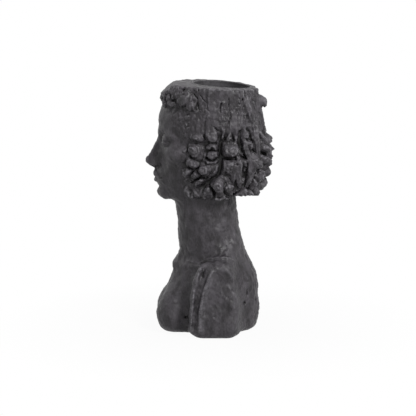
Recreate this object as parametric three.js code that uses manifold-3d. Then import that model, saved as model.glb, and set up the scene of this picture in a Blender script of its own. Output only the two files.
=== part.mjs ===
// Head planter: a cast bust with its head cut open for a planting cup.
// Millimetres, +Z up. The face looks along -Y and the bust's own left side is +X.
import * as THREE from "three";
import { mergeVertices } from "three/addons/utils/BufferGeometryUtils.js";
import Module from "manifold-3d";

const wasm = await Module();
wasm.setup();

// Casting
const rimHeight = 437; // front of the rim above the ground
const rimFall = 9.5; // how much lower the rim lies at the back
const castWall = 8;
const ringBelow = 8; // solid ring under the ledge that the cup hangs on
const footGap = 1; // the casting's lower edge stands this far off the ground
const footRound = 10; // rounding of the lower edge
const footWidth = 5; // flat ring left between that rounding and the base plate
const fitGap = 0.3; // clearance between pieces that are bonded together

// Head
const chinHeight = 233;
const headHeight = 216; // chin to crown, as if the head were whole
const headWidth = 146;
const headDepth = 184;
const headForward = 4; // the skull's middle lies this far behind the bust's axis

// Neck and torso
const neckWidth = 96;
const neckDepth = 103;
const neckFoot = 140; // height where the neck opens into the shoulders
const torsoWidth = 136;
const torsoDepth = 166;
const torsoRise = 112; // how far the torso's oval reaches above its widest level
const torsoLevel = 40; // height of the widest level
const shoulderSpan = 200; // across the two cut arms
const armDepth = 92; // front to back of a cut arm
const armHeight = 134; // top of a cut arm
const armCutLean = 14; // how far the flat cut leans in on its way up

// Hair: widths and depths of the combed mass under the curls
const hairWidth = { rim: 146, belly: 160, foot: 142 };
const hairDepth = { rim: 151, belly: 180, foot: 156 };
const hairBack = { rim: 7, belly: 15, foot: 14 }; // how far its middle lies behind the bust's axis
const hairFoot = 240; // height of the lowest hair
const hairBelly = 306; // height where the hair is widest
const strandHeight = 352; // below this the combed strands turn into curls
const strandCount = 26; // combed locks round the crown
const strandRelief = 1.5;
const curlRadius = 15;
const curlBulge = 0.5; // how far a curl swells, as a share of its radius
const hairGirth = 84; // from the hair's middle out to its skin, for measuring round it
const cleftStray = 4.5; // how far the borders between curls wander
const cleftDepth = 8; // deepest cleft, measured in from the combed mass
const hairWall = castWall + cleftDepth - 1; // the casting is this thick where the hair has clefts
const napeRise = 8; // how much higher the hair ends behind
const templeEdge = 46; // the hair by the cheek starts this far behind the forehead
const browHeight = 400; // lowest small curls over the forehead
const browRowStep = 13;
const browRadius = 9.5;
const browCount = 9; // curls in the lowest row, and one less in each row above
const backCurlHeight = 404; // single curl standing proud of the combed hair behind
const backCurlRadius = 12;

// Curls of one side: degrees round from the nape, share of the way up the curls, size,
// and how far it stands out
const curlPlaces = [
  [74, 0.8, 0.93, 4], [73, 1.01, 0.54, 1], [64, 1.1, 0.5, 0], [54, 1.02, 0.55, 3], [53, 0.84, 0.6, 3],
  [58, 0.72, 0.42, 1], [96, 0.8, 0.66, 1], [84, 1.13, 0.55, 3], [98, 1.01, 0.8, 2], [96, 0.68, 0.74, 3],
  [107, 0.49, 0.9, 2], [114, 0.97, 0.66, 0], [118, 0.76, 0.72, 0], [121, 0.57, 0.6, 1], [78, 0.52, 0.76, 2],
  [69, 0.5, 0.55, 0], [56, 0.46, 0.36, -1], [40, 0.57, 0.95, 3], [30, 0.32, 0.7, 4], [37, 0.2, 0.6, 2],
  [14, 0.16, 0.62, 4], [89, 0.23, 0.98, 5], [77, 0.19, 0.6, 2], [103, 0.14, 0.58, 1], [62, 0.24, 0.66, -3],
  [48, 0.23, 0.55, 0], [34, 0.84, 0.7, 1], [20, 0.74, 0.74, 3], [18, 0.5, 0.74, 3], [26, 0.97, 0.55, 1],
  [119, 0.36, 0.6, 0], [91, 0.44, 0.55, 0],
];
const napeCurls = [[2, 0.88, 0.78, 3], [-2, 0.64, 0.78, 3], [3, 0.38, 0.74, 2], [-1, 0.17, 0.7, 3]];
const smallCurls = 300; // tries at laying smaller curls where the others leave room

// Deep clefts between the curls of one side: half width, then stops in degrees and height
const clefts = [
  { width: 3.6, stops: [[86, 364], [87, 350], [86, 333], [86, 316], [87, 298], [89, 288]] },
  { width: 4.5, stops: [[89, 288], [97, 276], [107, 266], [115, 258]] },
  { width: 2.4, stops: [[73, 372], [76, 358], [81, 347], [86, 342]] },
  { width: 4.5, stops: [[60, 358], [61, 338], [64, 323], [68, 315]] },
  { width: 3, stops: [[84, 315], [75, 313], [66, 314], [57, 312], [50, 315]] },
  { width: 3.2, stops: [[50, 363], [48, 346], [47, 330], [51, 318], [57, 314]] },
  { width: 3.2, stops: [[66, 311], [61, 297], [56, 281]] },
  { width: 3.2, stops: [[51, 311], [52, 296], [53, 280]] },
  { width: 2.6, stops: [[35, 376], [32, 358], [29, 342]] },
  { width: 2.8, stops: [[46, 324], [33, 320], [15, 311]] },
  { width: 3, stops: [[42, 289], [33, 294], [20, 293]] },
  { width: 4, stops: [[70, 272], [62, 262], [54, 264], [46, 258]] },
  { width: 2.8, stops: [[116, 342], [107, 336], [102, 339]] },
];

// Planting cup and its plug
const cupSetBack = 15; // the cup's middle lies this far behind the middle of the rim
const cupDiameter = 98; // inside, at the rim
const cupTaper = 12; // how much narrower the inside is at the floor
const cupDepth = 122;
const cupWall = 3;
const cupFloor = 5;
const collarHeight = 18; // thicker top of the cup, which hangs on a ledge in the casting
const collarWidth = 2;
const drainDiameter = 14;
const plugHeadDiameter = 24;
const plugHeadHeight = 3;
const plugTabHeight = 13;
const plugTabWidth = 12;
const plugTabThickness = 3.5;

// Base plate and pads
const plateThickness = 6;
const plateLedge = 5; // casting left above the plate for it to seat against
const padThickness = 3;
const padDiameter = 22;
const padInset = 8; // pad's edge to plate's edge
const outletDiameter = 16;

// How finely the casting is faceted
const faceColumns = 36;
const hairColumns = 54;
const bodyColumns = 56;
const faceSpread = THREE.MathUtils.degToRad(58); // half the angle that the face takes up
const turnedSides = 48; // flats round a turned surface
const hollowSides = 32;
const hollowRows = 6; // rings of the hollow inside the head

// Clay pieces: each gives a distance, negative inside
const smooth = (a, b, soft) => {
  const mix = Math.max(soft - Math.abs(a - b), 0) / soft;
  return Math.min(a, b) - (mix * mix * soft) / 4;
};

function ball(at, radii, soft, carve = false) {
  const [cx, cy, cz] = at;
  const [a, b, c] = radii;
  const distance = (x, y, z) => {
    const u = (x - cx) / a;
    const v = (y - cy) / b;
    const w = (z - cz) / c;
    const reach = Math.hypot(u, v, w);
    const slope = Math.hypot(u / a, v / b, w / c);
    return slope > 1e-9 ? (reach * (reach - 1)) / slope : -Math.min(a, b, c);
  };
  return { distance, soft, carve };
}

function roll(from, to, startRadius, endRadius, soft, carve = false) {
  const run = to.map((value, i) => value - from[i]);
  const square = run[0] ** 2 + run[1] ** 2 + run[2] ** 2;
  const distance = (x, y, z) => {
    const dx = x - from[0];
    const dy = y - from[1];
    const dz = z - from[2];
    const along = Math.min(Math.max((dx * run[0] + dy * run[1] + dz * run[2]) / square, 0), 1);
    const gap = Math.hypot(dx - along * run[0], dy - along * run[1], dz - along * run[2]);
    return gap - startRadius - along * (endRadius - startRadius);
  };
  return { distance, soft, carve };
}

// The flat cut of an arm, which leans in towards the shoulder
function armCut(span, soft) {
  const { smoothstep } = THREE.MathUtils;
  const distance = (x, y, z) => span - armCutLean * smoothstep(z, 0, armHeight) - x;
  return { distance, soft, carve: true };
}

function press(pieces, x, y, z) {
  let clay = 1e3;
  for (const piece of pieces) {
    const gap = piece.distance(x, y, z);
    clay = piece.carve ? -smooth(-clay, gap, piece.soft) : smooth(clay, gap, piece.soft);
  }
  return clay;
}

// Head: the face is ruled by thirds from chin to hairline, and by fifths across
const third = (headHeight * 57) / 216;
const noseBase = chinHeight + third;
const eyeLevel = chinHeight + headHeight / 2 - 2;
const browLevel = noseBase + third + 3;
const mouthLevel = noseBase - third / 3;
const hairline = chinHeight + 3 * third;
const eyeSpan = (headWidth * 0.42) / 2;
const faceFront = headForward - headDepth / 2; // foremost point of the forehead

function skullPieces() {
  const crown = chinHeight + headHeight;
  const half = headWidth / 2;
  const middle = crown - headHeight * 0.39;
  return [
    ball([0, headForward, middle], [half, headDepth / 2, crown - middle], 1),
    ball([0, faceFront + 62, noseBase + 16], [half * 0.8, 60, 76], 12),
    ball([0, faceFront + 52, chinHeight + 33], [half * 0.64, 48, 34], 12),
    roll([16, faceFront + 15, chinHeight + 9], [half * 0.64, faceFront + 74, chinHeight + 27], 8, 13, 14),
  ];
}

function facePieces() {
  const f = faceFront;
  const eye = [eyeSpan, f + 19, eyeLevel];
  return [
    ball([0, f + 10, chinHeight + 13], [17, 12, 12], 9),
    ball([half(0.56), f + 37, noseBase + 24], [22, 20, 18], 22),
    roll([8, f + 8, browLevel], [half(0.6), f + 26, browLevel - 1], 8, 8, 9),
    ball([eyeSpan + 1, f - 2, eyeLevel + 1], [18, 16, 12], 8, true),
    ball(eye, [12.8, 12.8, 12.8], 1.5),
    roll([0, f + 10.5, eyeLevel + 6], [0, f - 11, noseBase + 15], 7, 7.5, 7),
    roll([7, f + 14, eyeLevel - 4], [8, f + 3, noseBase + 11], 5, 7, 8),
    ball([0, f - 14, noseBase + 10.5], [7.5, 9.5, 8], 6),
    ball([8.5, f - 3, noseBase + 7.5], [6.5, 9.5, 7], 3.5),
    roll([0, f - 11, noseBase + 6], [0, f + 2, noseBase - 4], 5, 4, 6),
    ball([0, f + 16, mouthLevel - 1], [28, 21, 24], 9),
    roll([0, f - 4.5, mouthLevel + 5.5], [23, f + 7, mouthLevel + 0.5], 4.4, 1.6, 6),
    roll([0, f - 3.5, mouthLevel - 5.5], [22, f + 7, mouthLevel - 1], 5.6, 1.8, 7),
    roll([0, f - 10, mouthLevel], [25, f + 5, mouthLevel], 1.6, 1.2, 2, true),
    ball([0, f - 8, mouthLevel - 16.5], [16, 8, 4.5], 6, true),
  ];
}

function half(share) {
  return (headWidth / 2) * share;
}

// A chain of rolls through stops, each a place and a radius
function chain(stops, soft, carve = false) {
  return stops.slice(1).map(([to, endRadius], i) => {
    const [from, startRadius] = stops[i];
    return roll(from, to, startRadius, endRadius, soft, carve);
  });
}

// Two rounded edges run down the front of a cut arm, with a furrow on the chest's side
function armEdges(arm) {
  const top = armHeight;
  const inner = [
    [[arm - 24, -17, top - 14], 3],
    [[arm - 18, -25, top - 36], 5],
    [[arm - 18, -29, top - 62], 6],
    [[arm - 20, -33, top - 84], 6],
    [[arm - 22, -36, footGap + 15], 6],
  ];
  const outer = [
    [[arm - 15, 12, top - 18], 4],
    [[arm - 12, 0, top - 25], 8],
    [[arm - 11, -6, top - 48], 9],
    [[arm - 11, -10, top - 81], 9],
    [[arm - 12, -20, top - 105], 9],
    [[arm - 13, -22, footGap + 14], 8],
  ];
  const furrow = [
    [[arm - 28, -40, top - 34], 4],
    [[arm - 26, -45, top - 74], 6],
    [[arm - 28, -48, footGap + 11], 7],
  ];
  return [...chain(inner, 14), ...chain(outer, 12), ...chain(furrow, 20, true)];
}

// Neck and torso
function bodyPieces() {
  const neckX = neckWidth / 2;
  const neckY = neckDepth / 2;
  const arm = shoulderSpan / 2;
  const throat = -neckY - 7;
  return [
    ball([0, 5, torsoLevel], [torsoWidth / 2, torsoDepth / 2, torsoRise], 1),
    ball([28, throat + 1.5, torsoLevel - 8], [34, 34.5, 46], 12),
    roll([0, 2, neckFoot - 20], [0, -1, neckFoot + 40], neckX + 4, neckX - 1, 22),
    roll([0, 29, neckFoot - 50], [0, 13, neckFoot + 20], 52, 39, 16),
    roll([0, -2, neckFoot + 20], [0, -12, chinHeight + 4], neckX, neckX, 14),
    roll([0, 3, neckFoot + 20], [0, 0, chinHeight + 12], neckX - 2, neckX - 2.5, 14),
    roll([22, 34, neckFoot + 16], [arm - 30, 24, armHeight - 24], 14, 18, 20),
    ball([arm - 44, 10, armHeight - 99], [60, armDepth / 2, 97], 14),
    roll([10, throat + 4, neckFoot - 25], [arm - 34, -8, armHeight - 10], 9, 4, 8),
    roll([neckX - 4, 16, chinHeight + 20], [11, throat + 10, neckFoot - 14], 9, 6, 9),
    ...armEdges(arm),
    armCut(arm - 3, 8),
  ];
}

// Hair: a combed mass, wider below the ears
function hairOval(z) {
  const { smoothstep, lerp } = THREE.MathUtils;
  const low = smoothstep(z, hairFoot - 4, hairBelly);
  const high = smoothstep(z, hairBelly, rimHeight);
  const at = ({ rim, belly, foot }) => (z < hairBelly ? lerp(foot, belly, low) : lerp(belly, rim, high));
  return { a: at(hairWidth) / 2, b: at(hairDepth) / 2, middle: at(hairBack) };
}

function hairMass(x, y, z) {
  const { a, b, middle } = hairOval(z);
  const v = y - middle;
  const reach = Math.hypot(x / a, v / b);
  return ((reach - 1) * reach) / Math.max(Math.hypot(x / (a * a), v / (b * b)), 1e-6);
}

// Locks combed down from the rim
function combedRelief(x, y, z) {
  const turn = Math.atan2(x, y - hairBack.rim);
  const fade = THREE.MathUtils.smoothstep(z, strandHeight - 14, strandHeight + 16);
  const uneven = 0.55 + 0.45 * Math.cos(5 * turn + z / 40);
  const waver = 1.6 * Math.sin(z / 26) + 0.8 * Math.sin(2 * turn);
  return strandRelief * fade * uneven * Math.cos(strandCount * turn + waver);
}

// The hair ends at a line that falls from the forehead past the temple to the jaw
function hairEdge(z) {
  const temple = faceFront + templeEdge;
  const open = THREE.MathUtils.smoothstep(z, hairline - 20, hairline + 8);
  return THREE.MathUtils.lerp(temple, faceFront - 14, open);
}

function hairField(x, y, z) {
  const front = hairEdge(z) - y;
  const under = hairFoot + napeRise * THREE.MathUtils.smoothstep(y, 20, 80) - z;
  return -smooth(smooth(-hairMass(x, y, z), -front, 6), -under, 6);
}

const curlNoise = (n) => {
  const value = Math.sin(n * 12.9898) * 43758.5453;
  return value - Math.floor(value);
};

// A curl on the hair: its place round and up, and the way its lump is drawn out
function layCurl(turn, z, radius, proud, seed) {
  const slant = Math.PI * curlNoise(seed + 21);
  const squash = 0.74 + 0.26 * curlNoise(seed + 33);
  return { u: turn * hairGirth, z, radius, proud, slant, squash };
}

function sideCurl([degrees, share, size, proud], side, seed, shift) {
  const turn = side * THREE.MathUtils.degToRad(degrees + 0.6 * shift);
  const z = hairFoot + share * (strandHeight - hairFoot) + shift;
  return layCurl(turn, z, size * curlRadius, proud, seed);
}

function layCurls() {
  const laid = [];
  for (const side of [1, -1]) {
    curlPlaces.forEach((place, i) => {
      const shift = side > 0 ? 0 : 5 * (curlNoise(i + 400) - 0.5);
      laid.push(sideCurl(place, side, side > 0 ? i : i + 200, shift));
    });
  }
  napeCurls.forEach((place, i) => laid.push(sideCurl(place, 1, 500 + i, 0)));
  for (let i = 0; i < smallCurls; i++) {
    const turn = THREE.MathUtils.degToRad(134) * (2 * curlNoise(i + 700) - 1);
    const z = hairFoot + 4 + (strandHeight + 12 - hairFoot) * curlNoise(i + 900);
    const radius = curlRadius * (0.67 - (0.27 * i) / smallCurls);
    const proud = 2.5 * curlNoise(i + 1200);
    const room = laid.map((curl) => Math.hypot(turn * hairGirth - curl.u, z - curl.z) - 0.9 * curl.radius);
    if (Math.min(...room) > 0.8 * radius) laid.push(layCurl(turn, z, radius, proud, 1300 + i));
  }
  return laid;
}

// Borders between curls wander by about this much either way
function stray(u, z) {
  const across = Math.sin(u / 11 + 1.3 * Math.sin(z / 17)) + 0.7 * Math.sin(z / 8.3 + u / 19 + 2);
  const up = Math.sin(z / 10 + 1.7 * Math.sin(u / 15) + 4) + 0.7 * Math.sin(u / 7.6 - z / 23 + 1);
  return [0.7 * cleftStray * across, 0.7 * cleftStray * up];
}

// Depth of the clefts at a place measured round and up, the same on both sides
function cleftAt(u, z) {
  const onSide = new THREE.Vector3(Math.abs(u), z, 0);
  const near = new THREE.Vector3();
  let depth = 0;
  for (const { width, stretches } of cleftLines) {
    for (const stretch of stretches) {
      stretch.closestPointToPoint(onSide, true, near);
      const off = near.distanceTo(onSide) / (width + 1);
      depth = Math.max(depth, 1.4 * cleftDepth * Math.exp(-off * off));
    }
  }
  return depth;
}

// Each cleft as straight stretches on the hair laid flat
function cleftStretches({ width, stops }) {
  const perDegree = THREE.MathUtils.degToRad(1) * hairGirth;
  const points = stops.map(([degrees, z]) => new THREE.Vector3(degrees * perDegree, z, 0));
  return { width, stretches: points.slice(1).map((point, i) => new THREE.Line3(points[i], point)) };
}

// The hair is parted into lumps: each place belongs to the nearest curl, which swells in its middle
function curlRelief(x, y, z) {
  const { smoothstep } = THREE.MathUtils;
  const fade = 1 - smoothstep(z, strandHeight - 6, strandHeight + 14);
  if (fade === 0) return 0;
  const { a, b, middle } = hairOval(z);
  const round = Math.atan2(x / a, (y - middle) / b) * hairGirth;
  const [strayU, strayZ] = stray(round, z);
  let nearest = null;
  let first = 9;
  let second = 9;
  for (const curl of curls) {
    const du = round + strayU - curl.u;
    const dz = z + strayZ - curl.z;
    if (Math.abs(du) > 3 * curlRadius || Math.abs(dz) > 3 * curlRadius) continue;
    const across = (dz * Math.cos(curl.slant) - du * Math.sin(curl.slant)) / curl.squash;
    const along = du * Math.cos(curl.slant) + dz * Math.sin(curl.slant);
    const far = Math.hypot(across, along) / curl.radius;
    if (far < first) {
      second = first;
      first = far;
      nearest = curl;
    } else if (far < second) second = far;
  }
  if (!nearest) return 0;
  const edge = 0.5 * (second - first) * nearest.radius;
  const share = Math.min(1, nearest.radius / (0.75 * curlRadius)); // small curls swell less
  const swell = curlBulge * share * nearest.radius * (1 - Math.min(first, 1.2) ** 2);
  const seam = 0.25 * cleftDepth * (1 - smoothstep(edge, 0, 4));
  const height = nearest.proud - 1.5 + swell - seam - cleftAt(round + 0.3 * strayU, z + 0.3 * strayZ);
  return fade * Math.max(height, -cleftDepth);
}

function onHair(angle, z, sunk) {
  const { a, b, middle } = hairOval(z);
  return [(a - sunk) * Math.sin(angle), middle + (b - sunk) * Math.cos(angle), z];
}

// A small curl standing alone is a short fat roll, lying across the hair
function roundCurl(at, radius, turn, slant, length) {
  const along = [Math.cos(turn) * Math.cos(slant), -Math.sin(turn) * Math.cos(slant), Math.sin(slant)];
  const tip = (sign) => at.map((value, i) => value + sign * length * along[i]);
  return { ...roll(tip(-1), tip(1), radius, radius * 0.9, 2), at, reach: radius + length + 5 };
}

// Small curls over the forehead lie on the skull, and draw in towards the rim
function onBrow(angle, z, sunk) {
  const drawnIn = 10 * THREE.MathUtils.smoothstep(z, browHeight + 14, rimHeight + 3);
  const a = headWidth / 2 + 3 - drawnIn - sunk;
  const b = headDepth / 2 - 5 - drawnIn - sunk;
  return [a * Math.sin(angle), headForward - b * Math.cos(angle), z];
}

// The curl behind, and three rows of small ones over the forehead up to the rim
function roundCurls() {
  const behind = THREE.MathUtils.degToRad(6);
  const pieces = [roundCurl(onHair(behind, backCurlHeight, -3), backCurlRadius, behind, 0, 2)];
  for (let row = 0; row < 3; row++) {
    const count = browCount - row;
    for (let i = 0; i < count; i++) {
      const turn = (1.12 - 0.05 * row) * ((2 * i) / (count - 1) - 1);
      const z = browHeight + browRowStep * row + 4 * (curlNoise(i + 90 + 20 * row) - 0.5);
      const radius = browRadius * (0.85 + 0.3 * curlNoise(i + 50 + 17 * row));
      pieces.push(roundCurl(onBrow(turn, z, 0.3 * radius), radius, Math.PI - turn, 0.5, 0.2 * radius));
    }
  }
  return pieces;
}

const skull = skullPieces();
const face = facePieces();
const body = bodyPieces();
const curls = layCurls();
const cleftLines = clefts.map(cleftStretches);
const looseCurls = roundCurls();

// Slow swells left by hand modelling
const handSwell = (x, y, z) =>
  0.8 * Math.sin(x / 9 + z / 17) * Math.sin(y / 11 - z / 13) + 0.5 * Math.sin(z / 8 + y / 15);

function plainField(x, y, z) {
  const side = Math.abs(x);
  const head = press(skull, side, y, z);
  const low = press(body, side, y, z);
  return smooth(smooth(head, low, 12), hairField(x, y, z), 3);
}

function bustField(x, y, z) {
  const side = Math.abs(x);
  let head = press(skull, side, y, z);
  for (const piece of face) {
    const gap = piece.distance(side, y, z);
    head = piece.carve ? -smooth(-head, gap, piece.soft) : smooth(head, gap, piece.soft);
  }
  const low = press(body, side, y, z);
  const hair = hairField(x, y, z) - combedRelief(x, y, z) - curlRelief(x, y, z);
  let clay = smooth(smooth(head, low, 12), hair, 3);
  for (const { at, reach, distance, soft } of looseCurls) {
    const off = Math.max(Math.abs(x - at[0]), Math.abs(y - at[1]), Math.abs(z - at[2]));
    if (off < reach) clay = smooth(clay, distance(x, y, z), soft);
  }
  return clay + 0.6 * handSwell(x, y, z);
}

// Levels where the skin is cut: height beside the neck, height out at the face, and rows to the next one
const nearReach = 50;
const farReach = 100;
const outermost = 156; // the search for the skin starts this far out from the axis
const headLevels = [
  { near: rimHeight, far: rimHeight, rows: 12 },
  { near: browLevel + 10, far: browLevel + 10, rows: 13 },
  { near: noseBase, far: noseBase, rows: 6 },
  { near: mouthLevel - 10, far: mouthLevel - 10, rows: 4 },
  { near: chinHeight + 25, far: chinHeight + 1, rows: 4 },
  { near: chinHeight + 10, far: chinHeight - 43, rows: 2 },
  { near: chinHeight - 4, far: chinHeight - 70, rows: 0 },
];
const bodyLevels = [
  { near: chinHeight - 11, far: chinHeight - 83, rows: 3 },
  { near: neckFoot + 40, far: neckFoot + 14, rows: 4 },
  { near: neckFoot + 10, far: neckFoot + 12, rows: 4 },
  { near: armHeight - 10, far: armHeight + 5, rows: 4 },
  { near: armHeight - 34, far: armHeight - 18, rows: 3 },
  { near: armHeight - 58, far: armHeight - 48, rows: 7 },
  { near: footGap + footRound, far: footGap + footRound, rows: 0 },
];

function cutHeights(levels) {
  const heights = [];
  levels.forEach((level, i) => {
    const next = levels[i + 1] ?? level;
    const count = Math.max(level.rows, 1);
    for (let row = 0; row < count; row++) {
      heights.push({
        near: THREE.MathUtils.lerp(level.near, next.near, row / count),
        far: THREE.MathUtils.lerp(level.far, next.far, row / count),
      });
    }
  });
  return heights;
}

// Angles round the axis from the front, closer together over the face
function columnAngles() {
  const angles = [];
  for (let i = 0; i < faceColumns; i++) {
    angles.push(-Math.PI / 2 + faceSpread * (-1 + (2 * i) / faceColumns));
  }
  const rest = 2 * Math.PI - 2 * faceSpread;
  for (let i = 0; i < hairColumns; i++) {
    angles.push(-Math.PI / 2 + faceSpread + (rest * i) / hairColumns);
  }
  const front = faceColumns / 2;
  return [...angles.slice(front), ...angles.slice(0, front)];
}

// Columns of the body gather round the cut arms: even steps are bent towards them
function bodyAngles() {
  const bend = 0.2;
  return Array.from({ length: bodyColumns }, (_, i) => {
    const turn = -Math.PI / 2 + (2 * Math.PI * i) / bodyColumns;
    return turn - bend * Math.sin(2 * turn);
  });
}

// The front edge of a cut arm leans forward on its way down, and the columns lean with it
function armLean(angle, z) {
  const { smoothstep, lerp } = THREE.MathUtils;
  const edge = lerp(-24, 8, smoothstep(z, footGap, armHeight - 26)) / (shoulderSpan / 2);
  const side = Math.cos(angle);
  const low = 1 - smoothstep(z, armHeight - 20, neckFoot + 30);
  return edge * low * side * side * side;
}

// Distance out from the axis to the surface of a field, looked for from outside
function surfaceReach(field, depth, angle, cut) {
  const slope = (cut.far - cut.near) / (farReach - nearReach);
  const base = cut.near - slope * nearReach;
  const x = Math.cos(angle);
  const y = Math.sin(angle);
  const at = (reach) => field(reach * x, reach * y, base + slope * reach) + depth;
  const step = 3;
  let reach = outermost;
  while (reach > 6 && at(reach) > 0) reach -= step;
  let inside = reach;
  let outside = reach + step;
  for (let i = 0; i < 9; i++) {
    const middle = (inside + outside) / 2;
    if (at(middle) > 0) outside = middle;
    else inside = middle;
  }
  return { reach: inside, z: base + slope * inside };
}

const ringPoint = (reach, angle, z) => [reach * Math.cos(angle), reach * Math.sin(angle), z];

// Triangles between two rings, whichever counts they have, by their turn round the axis
function zip(upper, lower, upperStart, lowerStart) {
  const turnOf = (ring, i) => {
    const [x, y] = ring[i % ring.length];
    const turn = Math.atan2(y, x) + Math.PI / 2;
    const wrapped = turn < -1e-6 ? turn + 2 * Math.PI : turn;
    return i < ring.length ? wrapped : wrapped + 2 * Math.PI;
  };
  const faces = [];
  let i = 0;
  let j = 0;
  while (i < upper.length || j < lower.length) {
    const a = upperStart + (i % upper.length);
    const c = lowerStart + (j % lower.length);
    const upperNext = i < upper.length ? turnOf(upper, i + 1) : Infinity;
    const lowerNext = j < lower.length ? turnOf(lower, j + 1) : Infinity;
    if (upperNext < lowerNext) {
      i++;
      faces.push(a, c, upperStart + (i % upper.length));
    } else {
      j++;
      faces.push(a, c, lowerStart + (j % lower.length));
    }
  }
  return faces;
}

const apart = (p, q) => Math.hypot(p[0] - q[0], p[1] - q[1], p[2] - q[2]);

// A closed skin through rings of points, given from the top down. A quad is split the short way.
function closedSkin(rings, topPoint, footPoint) {
  const points = [topPoint];
  const starts = rings.map((ring) => {
    points.push(...ring);
    return points.length - ring.length;
  });
  points.push(footPoint);
  const faces = [];
  const top = rings[0].length;
  for (let i = 0; i < top; i++) faces.push(0, starts[0] + i, starts[0] + ((i + 1) % top));
  for (let row = 0; row + 1 < rings.length; row++) {
    const count = rings[row].length;
    if (rings[row + 1].length !== count) {
      faces.push(...zip(rings[row], rings[row + 1], starts[row], starts[row + 1]));
      continue;
    }
    for (let i = 0; i < count; i++) {
      const a = starts[row] + i;
      const b = starts[row] + ((i + 1) % count);
      const falling = apart(points[a], points[b + count]) <= apart(points[b], points[a + count]);
      if (falling) faces.push(a, a + count, b + count, a, b + count, b);
      else faces.push(a, a + count, b, b, a + count, b + count);
    }
  }
  const foot = rings[rings.length - 1].length;
  const last = starts[rings.length - 1];
  for (let i = 0; i < foot; i++) faces.push(points.length - 1, last + ((i + 1) % foot), last + i);
  const geometry = new THREE.BufferGeometry();
  geometry.setAttribute("position", new THREE.Float32BufferAttribute(points.flat(), 3));
  geometry.setIndex(faces);
  return geometry;
}

// Solids for cutting and joining
function toSolid(geometry) {
  const bare = geometry.clone();
  bare.deleteAttribute("normal");
  bare.deleteAttribute("uv");
  const merged = mergeVertices(bare, 1e-4);
  return new wasm.Manifold(
    new wasm.Mesh({
      numProp: 3,
      vertProperties: merged.attributes.position.array,
      triVerts: new Uint32Array(merged.index.array),
    }),
  );
}

function toGeometry(solid) {
  const mesh = solid.getMesh();
  const geometry = new THREE.BufferGeometry();
  geometry.setAttribute("position", new THREE.BufferAttribute(mesh.vertProperties, 3));
  geometry.setIndex(new THREE.BufferAttribute(mesh.triVerts, 1));
  geometry.computeVertexNormals();
  return geometry;
}

// A turned piece: pairs of radius and height, from the axis round to the axis
function turned(profile, segments = turnedSides) {
  const points = profile.map(([radius, z]) => new THREE.Vector2(radius, z));
  return new THREE.LatheGeometry(points, segments).rotateX(Math.PI / 2);
}

const drum = (radius, from, to, segments = turnedSides) =>
  turned([[0, from], [radius, from], [radius, to], [0, to]], segments);

// The rim falls towards the back
const cupY = hairBack.rim + cupSetBack;
const rimFront = hairBack.rim - hairDepth.rim / 2;
const rimAt = (y) => rimHeight - (rimFall * Math.max(y - rimFront, 0)) / hairDepth.rim;

// Outer skin of the casting, and the outline that it stands on
function ringsAt(levels, columns) {
  return cutHeights(levels).map((cut) =>
    columns.map((angle) => {
      const turn = angle + armLean(angle, cut.far);
      const found = surfaceReach(bustField, 0, turn, cut);
      return ringPoint(found.reach, turn, found.z);
    }),
  );
}

function outerRings() {
  const head = ringsAt(headLevels, columnAngles());
  const body = ringsAt(bodyLevels, bodyAngles());
  // The fall of the rim dies out down the crown
  const crownRows = headLevels[0].rows;
  for (let row = 0; row < crownRows; row++) {
    const fade = 1 - row / crownRows;
    for (const point of head[row]) point[2] -= fade * (rimHeight - rimAt(point[1]));
  }
  return [...head, ...body];
}

const skinRings = outerRings();
const footRing = skinRings[skinRings.length - 1];

function inset(ring, distance, z) {
  return ring.map(([x, y]) => {
    const reach = Math.hypot(x, y);
    const share = (reach - distance) / reach;
    return [x * share, y * share, z];
  });
}

function skinSolid() {
  const steps = [30, 60, 90].map((degrees) => THREE.MathUtils.degToRad(degrees));
  const rounding = steps.map((turn) =>
    inset(footRing, footRound * (1 - Math.cos(turn)), footGap + footRound * (1 - Math.sin(turn))),
  );
  const top = [0, cupY, rimAt(cupY)];
  return toSolid(closedSkin([...skinRings, ...rounding], top, [0, 0, footGap]));
}

// Hollow inside the casting, from the base plate's ledge up to the solid ring round the cup
const plateTop = padThickness + plateThickness;
const plateInset = footRound + footWidth;
const ringFoot = rimAt(cupY + cupDiameter / 2) - collarHeight - ringBelow;

function hollowSolid() {
  const hollowRing = (cut, wall = castWall) =>
    Array.from({ length: hollowSides }, (_, i) => {
      const turn = (2 * Math.PI * i) / hollowSides - Math.PI / 2;
      const found = surfaceReach(plainField, wall, turn, cut);
      return ringPoint(found.reach, turn, found.z);
    });
  const rings = [];
  for (let row = 0; row < hollowRows; row++) {
    const z = THREE.MathUtils.lerp(ringFoot, hairFoot + 22, row / (hollowRows - 1));
    const belowCrown = 1 - THREE.MathUtils.smoothstep(z, strandHeight, ringFoot);
    rings.push(hollowRing({ near: z, far: z }, THREE.MathUtils.lerp(castWall, hairWall, belowCrown)));
  }
  for (const level of headLevels.slice(4, -1)) rings.push(hollowRing(level));
  for (const level of bodyLevels.slice(0, -1)) rings.push(hollowRing(level));
  const low = plateTop + 2 * castWall;
  rings.push(hollowRing({ near: torsoLevel + 10, far: torsoLevel + 10 }));
  rings.push(hollowRing({ near: low, far: low }));
  rings.push(plateRing(plateLedge, plateTop + castWall), plateRing(plateLedge, padThickness));
  return toSolid(closedSkin(rings, [0, 0, ringFoot], [0, 0, padThickness]));
}

// The plate's outline keeps inside the foot's, and passes straight over its narrow dips
function plateRing(gap, z) {
  const reaches = footRing.map(([x, y]) => Math.hypot(x, y));
  const count = reaches.length;
  return footRing.map(([x, y], i) => {
    const beside = [-2, -1, 0, 1, 2].map((step) => reaches[(i + step + count) % count]);
    const share = (Math.min(...beside) - plateInset - gap) / reaches[i];
    return [x * share, y * share, z];
  });
}

function plateOutline(gap) {
  const shape = new THREE.Shape();
  shape.setFromPoints(plateRing(gap, 0).map(([x, y]) => new THREE.Vector2(x, y)));
  return shape;
}

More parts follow.
